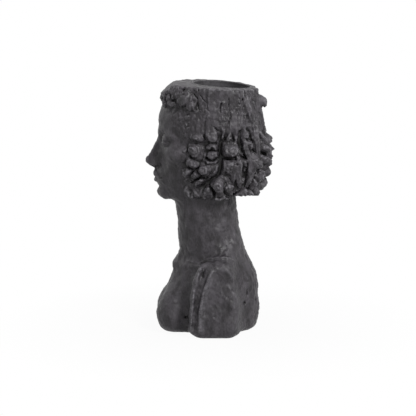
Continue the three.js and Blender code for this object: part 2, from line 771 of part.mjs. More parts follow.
const slab = (shape, from, to) =>
  new THREE.ExtrudeGeometry(shape, { depth: to - from, bevelEnabled: false }).translate(0, 0, from);

// The cup's levels
const cupInner = cupDiameter / 2;
const cupOuter = cupInner + cupWall;
const collarOuter = cupOuter + collarWidth;
const collarFoot = rimAt(cupY + cupDiameter / 2) - collarHeight;
const cupTop = rimHeight;
const floorTop = cupTop - cupDepth;
const floorInner = cupInner - cupTaper / 2;

function bustShell() {
  const bore = drum(cupOuter + fitGap, ringFoot - 30, rimHeight + 20).translate(0, cupY, 0);
  const counterbore = drum(collarOuter + fitGap, collarFoot, rimHeight + 20).translate(0, cupY, 0);
  return skinSolid()
    .subtract(hollowSolid())
    .subtract(toSolid(bore))
    .subtract(toSolid(counterbore))
    .subtract(toSolid(slab(plateOutline(0), -5, plateTop)));
}

// Everything above the rim's slope, for trimming the cup flush with it
function aboveRim() {
  const back = rimFront + 1.5 * hairDepth.rim;
  const high = rimHeight + 60;
  const shape = new THREE.Shape();
  shape.moveTo(rimFront, rimHeight);
  shape.lineTo(back, rimAt(back));
  shape.lineTo(back, high);
  shape.lineTo(rimFront, high);
  const block = new THREE.ExtrudeGeometry(shape, { depth: 2 * cupDiameter, bevelEnabled: false });
  // Drawn in the plane of Y and Z, then laid across X
  return toSolid(block.rotateX(Math.PI / 2).rotateZ(Math.PI / 2).translate(-cupDiameter, 0, 0));
}

function plantingCup() {
  const under = floorTop - cupFloor;
  const hole = drainDiameter / 2;
  const profile = [
    [hole, under],
    [floorInner + cupWall - 4, under],
    [floorInner + cupWall, under + 4],
    [cupOuter, collarFoot - 6],
    [cupOuter, collarFoot],
    [collarOuter, collarFoot],
    [collarOuter, cupTop + 10],
    [cupInner, cupTop + 10],
    [cupInner, cupTop],
    [floorInner + 1, floorTop + 8],
    [floorInner - 6, floorTop],
    [hole, floorTop],
    [hole, under],
  ];
  return toSolid(turned(profile).translate(0, cupY, 0)).subtract(aboveRim());
}

// Rubber bung with a pull tab
function drainPlug() {
  const neck = drainDiameter / 2 - fitGap;
  const foot = floorTop - cupFloor - 3;
  const head = plugHeadDiameter / 2;
  const headTop = floorTop + plugHeadHeight;
  const bung = turned([
    [0, foot],
    [neck - 1.4, foot],
    [neck, floorTop - 1],
    [neck, floorTop],
    [head - 0.8, floorTop],
    [head, floorTop + 0.8],
    [head - 1.5, headTop - 0.4],
    [head - 4, headTop],
    [0, headTop],
  ], 36);
  const tab = new THREE.Shape();
  const halfWidth = plugTabWidth / 2;
  const shoulder = plugTabHeight - halfWidth;
  tab.moveTo(-halfWidth, -1);
  tab.lineTo(halfWidth, -1);
  tab.lineTo(halfWidth, shoulder);
  tab.absarc(0, shoulder, halfWidth, 0, Math.PI, false);
  tab.lineTo(-halfWidth, -1);
  const eye = new THREE.Path();
  eye.absarc(0, shoulder, halfWidth - 2.6, 0, 2 * Math.PI, true);
  tab.holes.push(eye);
  const flat = { depth: plugTabThickness, bevelEnabled: false, curveSegments: 8 };
  const blade = new THREE.ExtrudeGeometry(tab, flat)
    .translate(0, 0, -plugTabThickness / 2)
    .rotateX(Math.PI / 2)
    .translate(0, 0, headTop);
  return toSolid(bung).add(toSolid(blade)).translate([0, cupY, 0]);
}

function basePlate() {
  const plate = toSolid(slab(plateOutline(fitGap), padThickness, plateTop));
  const outlet = toSolid(drum(outletDiameter / 2, -5, plateTop + 5, 36));
  return plate.subtract(outlet);
}

// Pads stand near the plate's front, back and two sides
function padPlaces() {
  const outline = plateRing(padInset + padDiameter / 2, 0);
  const ends = [
    { name: "front", x: 0, y: -1 },
    { name: "left", x: 1, y: 0.16 },
    { name: "back", x: 0, y: 1 },
    { name: "right", x: -1, y: 0.16 },
  ];
  return ends.map((end) => {
    const ahead = ([x, y]) => (x * end.x + y * end.y) / Math.hypot(x, y);
    const [x, y] = outline.reduce((best, point) => (ahead(point) > ahead(best) ? point : best));
    return { name: end.name, x, y };
  });
}

function footPad(place) {
  const radius = padDiameter / 2;
  const pad = turned([[0, 0], [radius, 0], [radius, padThickness], [0, padThickness]], 28);
  return pad.translate(place.x, place.y, 0);
}

// Finishes
const castResin = new THREE.MeshStandardMaterial({ color: 0x3d3b3e, roughness: 0.72, metalness: 0 });
const cupResin = new THREE.MeshStandardMaterial({ color: 0x4b4a4d, roughness: 0.66, metalness: 0 });
const plateResin = new THREE.MeshStandardMaterial({ color: 0x343335, roughness: 0.8, metalness: 0 });
const plugRubber = new THREE.MeshStandardMaterial({ color: 0x242424, roughness: 0.85, metalness: 0 });
const padFoam = new THREE.MeshStandardMaterial({ color: 0x2a2a2c, roughness: 0.95, metalness: 0 });

const planter = new THREE.Group();

function addPiece(name, geometry, material) {
  const mesh = new THREE.Mesh(geometry, material);
  mesh.name = name;
  planter.add(mesh);
  return mesh;
}

addPiece("bust_shell", toGeometry(bustShell()), castResin);
addPiece("planting_cup", toGeometry(plantingCup()), cupResin);
addPiece("drain_plug", toGeometry(drainPlug()), plugRubber);
addPiece("base_plate", toGeometry(basePlate()), plateResin);
for (const place of padPlaces()) addPiece(`foot_pad_${place.name}`, footPad(place), padFoam);

// The origin goes to the middle of the overall box, on the ground
const overall = new THREE.Box3().setFromObject(planter);
planter.position.set(-(overall.min.x + overall.max.x) / 2, -(overall.min.y + overall.max.y) / 2, 0);

export default planter;
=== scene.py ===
import math

import bmesh
import bpy
import numpy as np
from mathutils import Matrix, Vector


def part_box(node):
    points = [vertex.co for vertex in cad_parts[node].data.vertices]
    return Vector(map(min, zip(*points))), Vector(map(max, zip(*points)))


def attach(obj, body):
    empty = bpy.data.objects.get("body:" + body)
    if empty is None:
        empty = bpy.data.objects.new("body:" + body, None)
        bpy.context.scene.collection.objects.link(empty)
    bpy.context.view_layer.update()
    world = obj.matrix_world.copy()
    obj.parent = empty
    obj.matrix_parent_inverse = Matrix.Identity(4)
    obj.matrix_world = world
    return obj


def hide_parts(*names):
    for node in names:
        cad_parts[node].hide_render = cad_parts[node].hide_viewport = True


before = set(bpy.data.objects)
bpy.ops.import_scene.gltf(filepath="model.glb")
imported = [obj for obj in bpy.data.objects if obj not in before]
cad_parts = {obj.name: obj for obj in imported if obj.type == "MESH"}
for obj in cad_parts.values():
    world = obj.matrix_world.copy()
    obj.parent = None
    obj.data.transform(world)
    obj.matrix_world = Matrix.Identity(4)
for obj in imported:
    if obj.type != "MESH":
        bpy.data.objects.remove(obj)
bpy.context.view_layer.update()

import openvdb
from mathutils import Vector

print("frame loaded")

# The sculpting below works in millimetres round the bust's own upright axis, and the
# finished meshes are moved onto the frame's axis and turned into metres.
cupLow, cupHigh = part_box("planting_cup")
plateTop = 1000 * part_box("base_plate")[1].z
cup = {
    "behindAxis": 22,  # mm from the bust's axis to the cup's middle
    "rimRadius": 49,
    "floorRadius": 43,
    "wall": 3,
    "collar": 2,
    "collarHeight": 18,
    "floor": 5,
    "depth": 122,
    "drainRadius": 7,
    "gap": 0.3,
    "lip": 1.2,  # rounding of the lip
    "ribs": 8,  # low ribs on the floor, which let water run to the drain
    "ribHeight": 0.9,
    "turningMarks": 0.12,
    "sharp": 50,  # degrees
    "sides": 144,
}
axisX = 500 * (cupLow.x + cupHigh.x)
axisY = 500 * (cupLow.y + cupHigh.y) - cup["behindAxis"]


# Camera, from the rim's and the foot's foreshortening in the photo
camera = {
    "azimuth": 90,
    "elevation": 10,
    "distance": 3.3,
    "lens": 162.6,
    "sensor": 36,
    "farthest": 50,
    "aim": (0, -0.0018, 0.2145),
}


def addObject(name, data):
    thing = bpy.data.objects.new(name, data)
    bpy.context.scene.collection.objects.link(thing)
    return thing


def makeCamera():
    data = bpy.data.cameras.new("camera")
    data.lens = camera["lens"]
    data.sensor_width = camera["sensor"]
    data.clip_end = camera["farthest"]
    view = addObject("camera", data)
    a, e = math.radians(camera["azimuth"]), math.radians(camera["elevation"])
    back = Vector((math.sin(a) * math.cos(e), -math.cos(a) * math.cos(e), math.sin(e)))
    view.location = Vector(camera["aim"]) + back * camera["distance"]
    view.rotation_euler = back.to_track_quat("Z", "Y").to_euler()
    bpy.context.scene.camera = view


makeCamera()
print("camera placed")


# Clay is a block of distances, negative inside, on an even grid
grid = {
    "step": 1.2,
    "halfWidth": 108,
    "front": -122,
    "back": 122,
    "low": -6,
    "high": 446,
    "band": 5,  # how far from the surface the fine relief reaches
    "beyond": 200,  # outside the block on every side
}


def makeBlock(fromX):
    step = grid["step"]
    count = int(grid["halfWidth"] / step)
    first = 0 if fromX == 0 else -count
    x = np.arange(first, count + 1, dtype=np.float32) * step
    y = np.arange(grid["front"], grid["back"], step, dtype=np.float32)
    z = np.arange(grid["low"], grid["high"], step, dtype=np.float32)
    field = np.full((len(x), len(y), len(z)), 1000, np.float32)
    return {"x": x, "y": y, "z": z, "field": field}


def softMin(a, b, soft):
    overlap = np.maximum(soft - np.abs(a - b), 0) / soft
    return np.minimum(a, b) - overlap * overlap * (soft / 4)


def softMax(a, b, soft):
    return -softMin(-a, -b, soft)


def smoothStep(value, low, high):
    t = np.clip((value - low) / (high - low), 0, 1)
    return t * t * (3 - 2 * t)


def mix(a, b, share):
    return a + (b - a) * share


def between(value, start, full, fade, end):
    # Rises from start to full, and falls from fade to end
    return smoothStep(value, start, full) * (1 - smoothStep(value, fade, end))


def bell(off, width):
    return np.exp(-((off / width) ** 2))


def blurred(fill, reach):
    # Mean over a cube of cells, this many either way
    for axis in range(3):
        total = np.cumsum(fill, axis=axis, dtype=np.float32)
        at = np.arange(fill.shape[axis])
        upTo = np.take(total, np.minimum(at + reach, len(at) - 1), axis=axis)
        before = np.take(total, np.maximum(at - reach - 1, 0), axis=axis)
        fill = (upTo - before) / (2 * reach + 1)
    return fill


def window(block, low, high):
    cuts, axes = [], []
    for name, a, b in zip("xyz", low, high):
        first, last = np.searchsorted(block[name], (a, b))
        cuts.append(slice(first, last))
        axes.append(block[name][first:last])
    x, y, z = axes
    return tuple(cuts), x[:, None, None], y[None, :, None], z[None, None, :]


def around(block, points, pad):
    low = [min(places) - pad for places in zip(*points)]
    high = [max(places) + pad for places in zip(*points)]
    return window(block, low, high)


def pressIn(block, cut, gap, soft, carve=False):
    clay = block["field"][cut]
    block["field"][cut] = softMax(clay, -gap, soft) if carve else softMin(clay, gap, soft)


def ball(block, at, radii, soft, carve=False):
    ends = [np.subtract(at, radii), np.add(at, radii)]
    cut, x, y, z = around(block, ends, soft + grid["band"] + 2)
    u, v, w = (x - at[0]) / radii[0], (y - at[1]) / radii[1], (z - at[2]) / radii[2]
    reach = np.sqrt(u * u + v * v + w * w)
    slope = np.sqrt((u / radii[0]) ** 2 + (v / radii[1]) ** 2 + (w / radii[2]) ** 2)
    gap = reach * (reach - 1) / np.maximum(slope, 1e-6)
    pressIn(block, cut, gap, soft, carve)


def rollGap(x, y, z, start, end, startRadius, endRadius):
    run = np.subtract(end, start).astype(np.float32)
    square = float(run @ run) or 1
    dx, dy, dz = x - start[0], y - start[1], z - start[2]
    along = np.clip((dx * run[0] + dy * run[1] + dz * run[2]) / square, 0, 1)
    off = (dx - along * run[0]) ** 2 + (dy - along * run[1]) ** 2 + (dz - along * run[2]) ** 2
    return np.sqrt(off) - startRadius - along * (endRadius - startRadius)


def roll(block, start, end, startRadius, endRadius, soft, carve=False):
    pad = soft + grid["band"] + 2 + max(startRadius, endRadius)
    cut, x, y, z = around(block, [start, end], pad)
    pressIn(block, cut, rollGap(x, y, z, start, end, startRadius, endRadius), soft, carve)


def chain(block, points, radii, soft, carve=False):
    for i in range(len(points) - 1):
        roll(block, points[i], points[i + 1], radii[i], radii[i + 1], soft, carve)


# Head and face, ruled by thirds from chin to hairline and by fifths across
head = {
    "chin": 233,
    "height": 216,
    "width": 146,
    "depth": 184,
    "forward": 4,
    "third": 57,
    "eyeBall": 12.6,
    "lid": 1.5,
    "lidHalfWidth": 15,
    "upperOpening": 4.4,
    "lowerOpening": 3.6,
}
noseBase = head["chin"] + head["third"]
eyeLevel = head["chin"] + head["height"] / 2 - 2
browLevel = noseBase + head["third"] + 3
mouthLevel = noseBase - head["third"] / 3
hairline = head["chin"] + 3 * head["third"]
eyeSpan = head["width"] * 0.21
faceFront = head["forward"] - head["depth"] / 2
halfHead = head["width"] / 2


def pressSkull(block):
    chin, f = head["chin"], faceFront
    crown = chin + head["height"]
    middle = crown - head["height"] * 0.39
    ball(block, (0, head["forward"], middle), (halfHead, head["depth"] / 2, crown - middle), 1)
    ball(block, (0, f + 62, noseBase + 16), (halfHead * 0.8, 60, 76), 12)
    ball(block, (0, f + 52, chin + 33), (halfHead * 0.64, 48, 34), 12)
    roll(block, (16, f + 15, chin + 9), (halfHead * 0.64, f + 74, chin + 27), 8, 13, 14)


def pressFace(block):
    chin, f = head["chin"], faceFront
    ball(block, (0, f + 10, chin + 13), (17, 12, 12), 9)
    ball(block, (halfHead * 0.56, f + 36, noseBase + 27), (22, 20, 13), 18)
    roll(block, (8, f + 8, browLevel), (halfHead * 0.6, f + 26, browLevel - 1), 8, 8, 9)
    ball(block, (eyeSpan + 1, f - 2, eyeLevel + 1), (18, 16, 12), 8, carve=True)
    pressEye(block)
    # Nose: bridge, sides, tip, wings and the strip between the nostrils
    roll(block, (0, f + 10.5, eyeLevel + 6), (0, f - 11, noseBase + 15), 7, 7.5, 7)
    roll(block, (7, f + 14, eyeLevel - 4), (8, f + 3, noseBase + 11), 5, 7, 8)
    ball(block, (0, f - 14, noseBase + 10.5), (7.5, 9.5, 8), 6)
    ball(block, (8.5, f - 3, noseBase + 7.5), (6.5, 9.5, 7), 3.5)
    roll(block, (0, f - 11, noseBase + 6), (0, f + 2, noseBase - 4), 5, 4, 6)
    chain(block, [(13.5, f - 9, noseBase + 13), (16.5, f, noseBase + 9), (14, f + 6, noseBase + 2)],
          [0.7, 1.1, 0.8], 2.2, carve=True)
    ball(block, (5.6, f - 7.5, noseBase + 0.4), (3.3, 5.2, 3.2), 1.6, carve=True)
    # Mouth
    ball(block, (0, f + 16, mouthLevel - 1), (28, 21, 24), 9)
    roll(block, (0, f - 4.5, mouthLevel + 5.2), (6, f - 4.2, mouthLevel + 5.8), 4.0, 4.2, 3)
    roll(block, (6, f - 4.2, mouthLevel + 5.8), (24, f + 7, mouthLevel + 0.6), 4.2, 1.4, 3)
    roll(block, (0, f - 3.5, mouthLevel - 5.8), (22, f + 7, mouthLevel - 1), 5.6, 1.6, 3)
    line = [(0, f - 9.6, -0.4), (8, f - 8, 0.3), (17, f - 2, -0.2), (26, f + 7, 0.4)]
    line = [(x, y, mouthLevel + z) for x, y, z in line]
    chain(block, line, [1.2, 1.2, 1.1, 1.3], 1.8, carve=True)
    roll(block, (0, f - 5.5, mouthLevel + 15.5), (0, f - 8.2, mouthLevel + 9.5), 2.2, 2.4, 2.5, carve=True)
    roll(block, (3.8, f - 4, mouthLevel + 15), (3.8, f - 6.2, mouthLevel + 9.5), 1.5, 1.7, 2.5)
    ball(block, (0, f - 8, mouthLevel - 16.5), (16, 8, 4.5), 6, carve=True)


def pressEye(block):
    at = (eyeSpan, faceFront + 19, eyeLevel)
    ball(block, at, (head["eyeBall"],) * 3, 1)
    lid = head["eyeBall"] + head["lid"]
    cut, x, y, z = around(block, [at], lid + grid["band"] + 3)
    across, up = (x - at[0]) / head["lidHalfWidth"], z - at[2] + 0.4
    arch = 1 - across * across
    openUp, openDown = up - head["upperOpening"] * arch, -up - head["lowerOpening"] * arch
    opening = np.maximum(openUp, openDown) * 0.85 + 0 * y
    ballGap = np.sqrt((x - at[0]) ** 2 + (y - at[1]) ** 2 + (z - at[2]) ** 2) - lid
    pressIn(block, cut, softMax(ballGap, -opening, 0.8), 0.8)
    # Crease over the upper lid, and the inner corner
    a, f = at[0], at[1]
    crease = [(-14, -7, 1), (-8, -13.5, 7.5), (2, -13.5, 9), (11, -9, 6), (16, -1, 0)]
    crease = [(a + x, f + y, eyeLevel + z) for x, y, z in crease]
    chain(block, crease, [0.8, 1.3, 1.3, 1.1, 0.7], 2.5, carve=True)
    ball(block, (a - 15.5, f - 7, eyeLevel - 0.8), (2.4, 2.6, 1.8), 1.5, carve=True)


# Neck, shoulders and chest
torso = {
    "neckWidth": 96,
    "neckDepth": 103,
    "neckFoot": 140,
    "width": 136,
    "depth": 166,
    "rise": 112,
    "level": 40,
    "shoulderSpan": 200,
    "armDepth": 92,
    "armHeight": 134,
    "cutLean": 14,
    "join": 12,  # how softly the head is blended onto the neck
    "footGap": 1,
    "footRound": 10,
}


# Rolls down the cut of the arm: mm in from the shoulder's tip, mm behind the axis, mm below the
# shoulder's top and radius of each stop, then how softly they are blended, and whether carved
armRolls = [
    ([(24, -17, 14, 3), (18, -25, 36, 5), (18, -29, 62, 6), (20, -33, 84, 6), (22, -36, 118, 6)],
     10, False),
    ([(15, 12, 18, 4), (12, 0, 25, 8), (11, -6, 48, 9), (11, -10, 81, 9), (12, -20, 105, 9),
      (13, -22, 119, 8)], 9, False),
    ([(28, -40, 34, 4), (26, -45, 74, 6), (28, -48, 122, 7)], 20, True),
    ([(8, -4, 12, 1), (4, -12, 26, 1.6), (4, -17, 57, 1.6), (5, -22, 82, 1.6), (7, -31, 116, 1.2)],
     8, True),
]


def pressTorso(block):
    t = torso
    neckX, neckY, arm = t["neckWidth"] / 2, t["neckDepth"] / 2, t["shoulderSpan"] / 2
    foot, level, top = t["neckFoot"], t["level"], t["armHeight"]
    throat, chin = -neckY - 7, head["chin"]
    ball(block, (0, 5, level), (t["width"] / 2, t["depth"] / 2, t["rise"]), 1)
    ball(block, (28, throat + 1.5, level - 8), (34, 34.5, 46), 12)
    roll(block, (0, 2, foot - 20), (0, -1, foot + 40), neckX + 4, neckX - 1, 22)
    roll(block, (0, 29, foot - 50), (0, 13, foot + 20), 52, 39, 16)
    roll(block, (0, -2, foot + 20), (0, -12, chin + 4), neckX, neckX, 14)
    roll(block, (0, 3, foot + 20), (0, 0, chin + 12), neckX - 2, neckX - 2.5, 14)
    roll(block, (22, 34, foot + 16), (arm - 30, 24, top - 24), 14, 18, 20)
    ball(block, (arm - 44, 10, top - 99), (60, t["armDepth"] / 2, 97), 14)
    # Collarbone, and the muscle from behind the ear down to it
    roll(block, (10, throat + 4, foot - 25), (arm - 34, -8, top - 10), 9, 4, 8)
    roll(block, (neckX - 4, 16, chin + 20), (11, throat + 10, foot - 14), 9, 6, 9)
    # Two rounded edges down the front of the cut arm, with a furrow beside each
    for stops, soft, carve in armRolls:
        line = [(arm - inward, y, top - down) for inward, y, down, _ in stops]
        chain(block, line, [stop[3] for stop in stops], soft, carve)
    # The flat cut of the arm leans in towards the shoulder
    cut, x, y, z = window(block, (arm - 30, -80, -6), (arm + 30, 90, top + 20))
    pressIn(block, cut, arm - 3 - t["cutLean"] * smoothStep(z, 0, top) - x + 0 * y, 6, carve=True)


# Hair: a combed mass with coiled and hanging locks pressed onto it
hair = {
    "width": {"rim": 146, "belly": 160, "foot": 142},
    "depth": {"rim": 151, "belly": 180, "foot": 156},
    "back": {"rim": 7, "belly": 15, "foot": 14},
    "foot": 240,
    "napeRise": 8,  # how much higher the hair ends behind
    "belly": 306,
    "strandHeight": 352,
    "girth": 84,  # mm from the middle of the hair to its surface, for measuring round it
    "curlRadius": 15,
    "curlTurns": 1.55,
    "fissure": 6.2,
    "fissureWidth": 2.9,
    "bulge": 0.62,
    "swirlDepth": 3.6,
    "eyeDepth": 6.5,  # hole in the middle of an eye curl
    "meander": 4.5,
    "cleftDepth": 12,
    "deepest": 9.5,  # below the combed mass
    "lumps": 1.2,
    "sponge": 0.4,
    "rimHeight": 437,
    "rimFall": 9.5,
    "rimStep": 0.6,  # the rim lies this much below the cup's lip
    "rimRoll": 0.8,  # and falls this much more towards its edge
    "fringeRoll": -62,  # where it rolls over in front, mm from the axis
    "templeEdge": 46,  # mm behind the forehead where the hair by the cheek starts
    "browEdge": 25,  # and where it starts beside the forehead
    "knob": (6, 404, 11.5),  # coil at the back: degrees, mm of height and radius
    "crownLocks": 15,
    "crownTop": 452,
    "fringeRows": 4,
    "fringeCount": 13,
    "fringeRadius": 7.5,
    "bunOut": 8.5,
    "fillers": 300,
}
rimFront = hair["back"]["rim"] - hair["depth"]["rim"] / 2

# Curls of one side: degrees round from the nape, share of the way up the curls, size,
# how far it stands out in mm, and how it is worked
curlPlaces = [
    (74, 0.8, 0.93, 4, "curl"), (73, 1.01, 0.54, 1, "curl"), (64, 1.1, 0.5, 0, "lock"),
    (54, 1.02, 0.55, 3, "lump"), (53, 0.84, 0.6, 3, "curl"), (58, 0.72, 0.42, 1, "curl"),
    (96, 0.8, 0.66, 1, "eye"), (84, 1.13, 0.55, 3, "lump"), (98, 1.01, 0.8, 2, "lump"),
    (96, 0.68, 0.74, 3, "lump"), (107, 0.49, 0.9, 2, "curl"), (114, 0.97, 0.66, 0, "curl"),
    (118, 0.76, 0.72, 0, "curl"), (121, 0.57, 0.6, 1, "lump"), (78, 0.52, 0.76, 2, "lump"),
    (69, 0.5, 0.55, 0, "lump"), (56, 0.46, 0.36, -1, "lock"), (40, 0.57, 0.95, 3, "lump"),
    (30, 0.32, 0.7, 4, "curl"), (37, 0.2, 0.6, 2, "lump"), (14, 0.16, 0.62, 4, "curl"),
    (89, 0.23, 0.98, 5, "curl"), (77, 0.19, 0.6, 2, "lump"), (103, 0.14, 0.58, 1, "lump"),
    (62, 0.24, 0.66, -3, "lump"), (48, 0.23, 0.55, 0, "lock"), (34, 0.84, 0.7, 1, "lock"),
    (20, 0.74, 0.74, 3, "curl"), (18, 0.5, 0.74, 3, "curl"), (26, 0.97, 0.55, 1, "curl"),
    (119, 0.36, 0.6, 0, "curl"), (91, 0.44, 0.55, 0, "lock"),
]
napeCurls = [
    (2, 0.88, 0.78, 3, "curl"), (-2, 0.64, 0.78, 3, "eye"),
    (3, 0.38, 0.74, 2, "curl"), (-1, 0.17, 0.7, 3, "lock"),
]

# Deep clefts between the curls of one side: half width, then stops in degrees and mm of height
clefts = [
    (3.2, [(86, 364), (87, 350), (86, 333), (86, 316), (87, 298), (89, 288)]),
    (4.2, [(89, 288), (97, 276), (107, 266), (115, 258)]),
    (2.0, [(73, 372), (76, 358), (81, 347), (86, 342)]),
    (1.8, [(73, 368), (70, 354), (69, 345)]),
    (4.2, [(60, 358), (61, 338), (64, 323), (68, 315)]),
    (2.3, [(84, 315), (75, 313), (66, 314), (57, 312), (50, 315)]),
    (2.8, [(50, 363), (48, 346), (47, 330), (51, 318), (57, 314)]),
    (1.8, [(58, 345), (52, 342)]),
    (2.8, [(66, 311), (61, 297), (56, 281)]),
    (2.8, [(51, 311), (52, 296), (53, 280)]),
    (2.2, [(35, 376), (32, 358), (29, 342)]),
    (1.8, [(17, 377), (16, 361), (12, 340)]),
    (2.4, [(46, 324), (33, 320), (15, 311)]),
    (2.6, [(42, 289), (33, 294), (20, 293)]),
    (3.6, [(70, 272), (62, 262), (54, 264), (46, 258)]),
    (2.4, [(116, 342), (107, 336), (102, 339)]),
    (1.8, [(103, 315), (96, 309), (89, 312)]),
]

# Hanging locks of one side: stops in degrees and mm of height, with the half width at each
hangingLocks = [
    [(45, 431, 6), (43, 402, 8), (40.5, 370, 8.5), (38.5, 336, 7.5), (36, 312, 5)],
    [(56, 352, 4), (55, 322, 4.5), (51, 296, 4.5), (48, 270, 3)],
    [(45, 318, 4), (45, 298, 4.8), (47, 278, 4), (48.5, 262, 3)],
    [(64, 312, 4), (66, 296, 5), (64, 278, 4.5), (61, 262, 3.5)],
    [(72, 306, 3.5), (71, 290, 4.5), (70, 272, 4)],
    [(19, 425, 4), (16, 396, 6), (13, 366, 5), (10, 340, 3)],
]


# Thin cracks of one side in the combed hair: stops in degrees and mm of height
cracks = [
    [(81, 409), (82, 394)],
    [(46, 429), (44, 420), (51, 412)],
    [(32, 412), (29, 399), (28, 385), (30, 368), (30, 351)],
    [(116, 422), (112, 414)],
    [(107, 421), (102, 411)],
    [(112, 407), (108, 393)],
    [(111, 434), (109, 427)],
    [(127, 402), (124, 406)],
    [(134, 420), (135, 425)],
    [(71, 414), (70, 390), (73, 373)],
    [(102, 378), (105, 358)],
    [(92, 367), (89, 360), (84, 358)],
]


def scatter(n):
    value = math.sin(n * 12.9898) * 43758.5453
    return value - math.floor(value)


def hairOval(z):
    low = smoothStep(z, hair["foot"] - 4, hair["belly"])
    high = smoothStep(z, hair["belly"], hair["rimHeight"])

    def size(sizes):
        under = mix(sizes["foot"], sizes["belly"], low)
        return np.where(z < hair["belly"], under, mix(sizes["belly"], sizes["rim"], high))

    return size(hair["width"]) / 2, size(hair["depth"]) / 2, size(hair["back"])


def hairEdge(z):
    # Where the hair starts behind the face
    temple = faceFront + mix(hair["templeEdge"], hair["browEdge"], smoothStep(z, 345, 378))
    return mix(temple, faceFront - 14, smoothStep(z, hairline - 20, hairline + 8))


def hairMassGap(x, y, z):
    a, b, middle = hairOval(z)
    v = y - middle
    reach = np.sqrt((x / a) ** 2 + (v / b) ** 2)
    mass = (reach - 1) * reach / np.maximum(np.sqrt((x / a**2) ** 2 + (v / b**2) ** 2), 1e-6)
    foot = hair["foot"] + hair["napeRise"] * smoothStep(y, 20, 80)
    return softMax(softMax(mass, hairEdge(z) - y, 6), foot - z, 6)


def pressHairMass(block, curls=None):
    wide = grid["beyond"]
    cut, x, y, z = window(block, (-wide, -wide, hair["foot"] - 16), (wide, wide, grid["high"]))
    gap = hairMassGap(x, y, z)
    if curls:
        near = np.nonzero((np.abs(gap) < 16) & (z + 0 * gap < hair["strandHeight"] + 24))
        p = np.stack([x.ravel()[near[0]], y.ravel()[near[1]], z.ravel()[near[2]]], axis=1)
        gap[near] -= curlRelief(p, curls)
    pressIn(block, cut, gap, 3)


def layCurls():
    height = hair["strandHeight"] - hair["foot"]
    curls = []
    for side in (1, -1):
        for i, place in enumerate(curlPlaces):
            shift = 0 if side > 0 else 5 * (scatter(i + 400) - 0.5)
            curls.append(curlAt(place, side, shift, height, i + (0 if side > 0 else 200)))
    for i, place in enumerate(napeCurls):
        curls.append(curlAt(place, 1, 0, height, 500 + i))
    # Smaller ones go where the large ones leave room
    for i in range(hair["fillers"]):
        turn = math.radians(134 * (2 * scatter(i + 700) - 1))
        z = hair["foot"] + 4 + (hair["strandHeight"] + 12 - hair["foot"]) * scatter(i + 900)
        radius = 10 - 4 * i / hair["fillers"]
        apart = [math.hypot((turn - c["turn"]) * hair["girth"], z - c["z"]) - 0.9 * c["radius"]
                 for c in curls]
        if min(apart) > 0.8 * radius:
            kind = ("curl", "lock", "lump")[int(3 * scatter(i + 1100))]
            curls.append(curl(turn, z, radius, 2.5 * scatter(i + 1200), kind, 1300 + i))
    return curls


def curlAt(place, side, shift, height, seed):
    degrees, share, size, proud, kind = place
    turn = side * math.radians(degrees + 0.6 * shift)
    return curl(turn, hair["foot"] + share * height + shift, size * hair["curlRadius"], proud, kind, seed)


def curl(turn, z, radius, proud, kind, seed):
    return {
        "turn": turn,
        "z": z,
        "radius": radius,
        "kind": kind,
        "proud": proud,
        "slant": math.pi * scatter(seed + 21),
        "squash": 0.74 + 0.26 * scatter(seed + 33),
        "hand": 1 if scatter(seed + 3) > 0.5 else -1,
        "phase": 6.28 * scatter(seed + 61),
    }


def curlRelief(p, curls):
    # The hair is parted into lumps by deep clefts, and each lump is worked as a curl or a lock
    x, y, z = p.T
    a, b, middle = hairOval(z)
    girthwise = np.arctan2(x / a, (y - middle) / b) * hair["girth"]
    driftU, driftV = wander(girthwise, z)
    u, v = girthwise + hair["meander"] * driftU, z + hair["meander"] * driftV
    first, second, owner = nearestCurls(u, v, curls)
    mine = {key: np.array([c[key] for c in curls])[owner] for key in curls[0]}
    edge = 0.5 * (second - first) * mine["radius"]
    lessU, lessV = girthwise + 0.3 * (u - girthwise), z + 0.3 * (v - z)
    share = np.minimum(1, mine["radius"] / (0.75 * hair["curlRadius"]))  # small curls swell less
    swell = share * mine["radius"] * (1 - np.minimum(first, 1.2) ** 2)
    height = mine["proud"] - 1.5 + hair["bulge"] * swell
    clear = mix(0.45, 1, smoothStep(np.abs(girthwise), 18, 45))  # fainter by the nape
    worked, far = workedCurl(lessU, lessV, mine)
    height += hair["swirlDepth"] * share * smoothStep(edge, 0.6, 4) * worked * clear
    height -= np.where(mine["kind"] == "eye", hair["eyeDepth"], 0) * bell(far, 4)
    deep = hair["fissure"] * mix(0.1, 1, smoothStep(driftU - driftV, -1.2, 1.2))
    height -= deep * (1 - smoothStep(edge, 0, hair["fissureWidth"]))
    kneaded = clayNoise(p, 9, 37) + 0.6 * clayNoise(p, 5, 38)
    height += hair["lumps"] * np.where(mine["kind"] == "curl", 0.5, 1) * kneaded
    height = np.maximum(height - cleftDepth(lessU, lessV), -hair["deepest"])
    top = hair["strandHeight"] + 7 * clayNoise(p, 34, 36)
    return height * (1 - smoothStep(z, top - 6, top + 14)) * (first < 8)


def nearestCurls(u, v, curls):
    # How far each place is from its nearest curl and the next, in radii, and which is nearest
    first, second = np.full(len(u), 9, np.float32), np.full(len(u), 9, np.float32)
    owner = np.zeros(len(u), np.int32)
    for i, c in enumerate(curls):
        reach = 2.6 * c["radius"]
        near = (np.abs(u - c["turn"] * hair["girth"]) < reach) & (np.abs(v - c["z"]) < reach)
        near = np.nonzero(near)[0]
        across, along = curlAxes(u[near], v[near], c["turn"], c["z"], c["slant"])
        far = np.hypot(along, across / c["squash"]) / c["radius"]
        closer = far < first[near]
        second[near] = np.where(closer, first[near], np.minimum(second[near], far))
        first[near] = np.where(closer, far, first[near])
        owner[near] = np.where(closer, i, owner[near])
    return first, second, owner


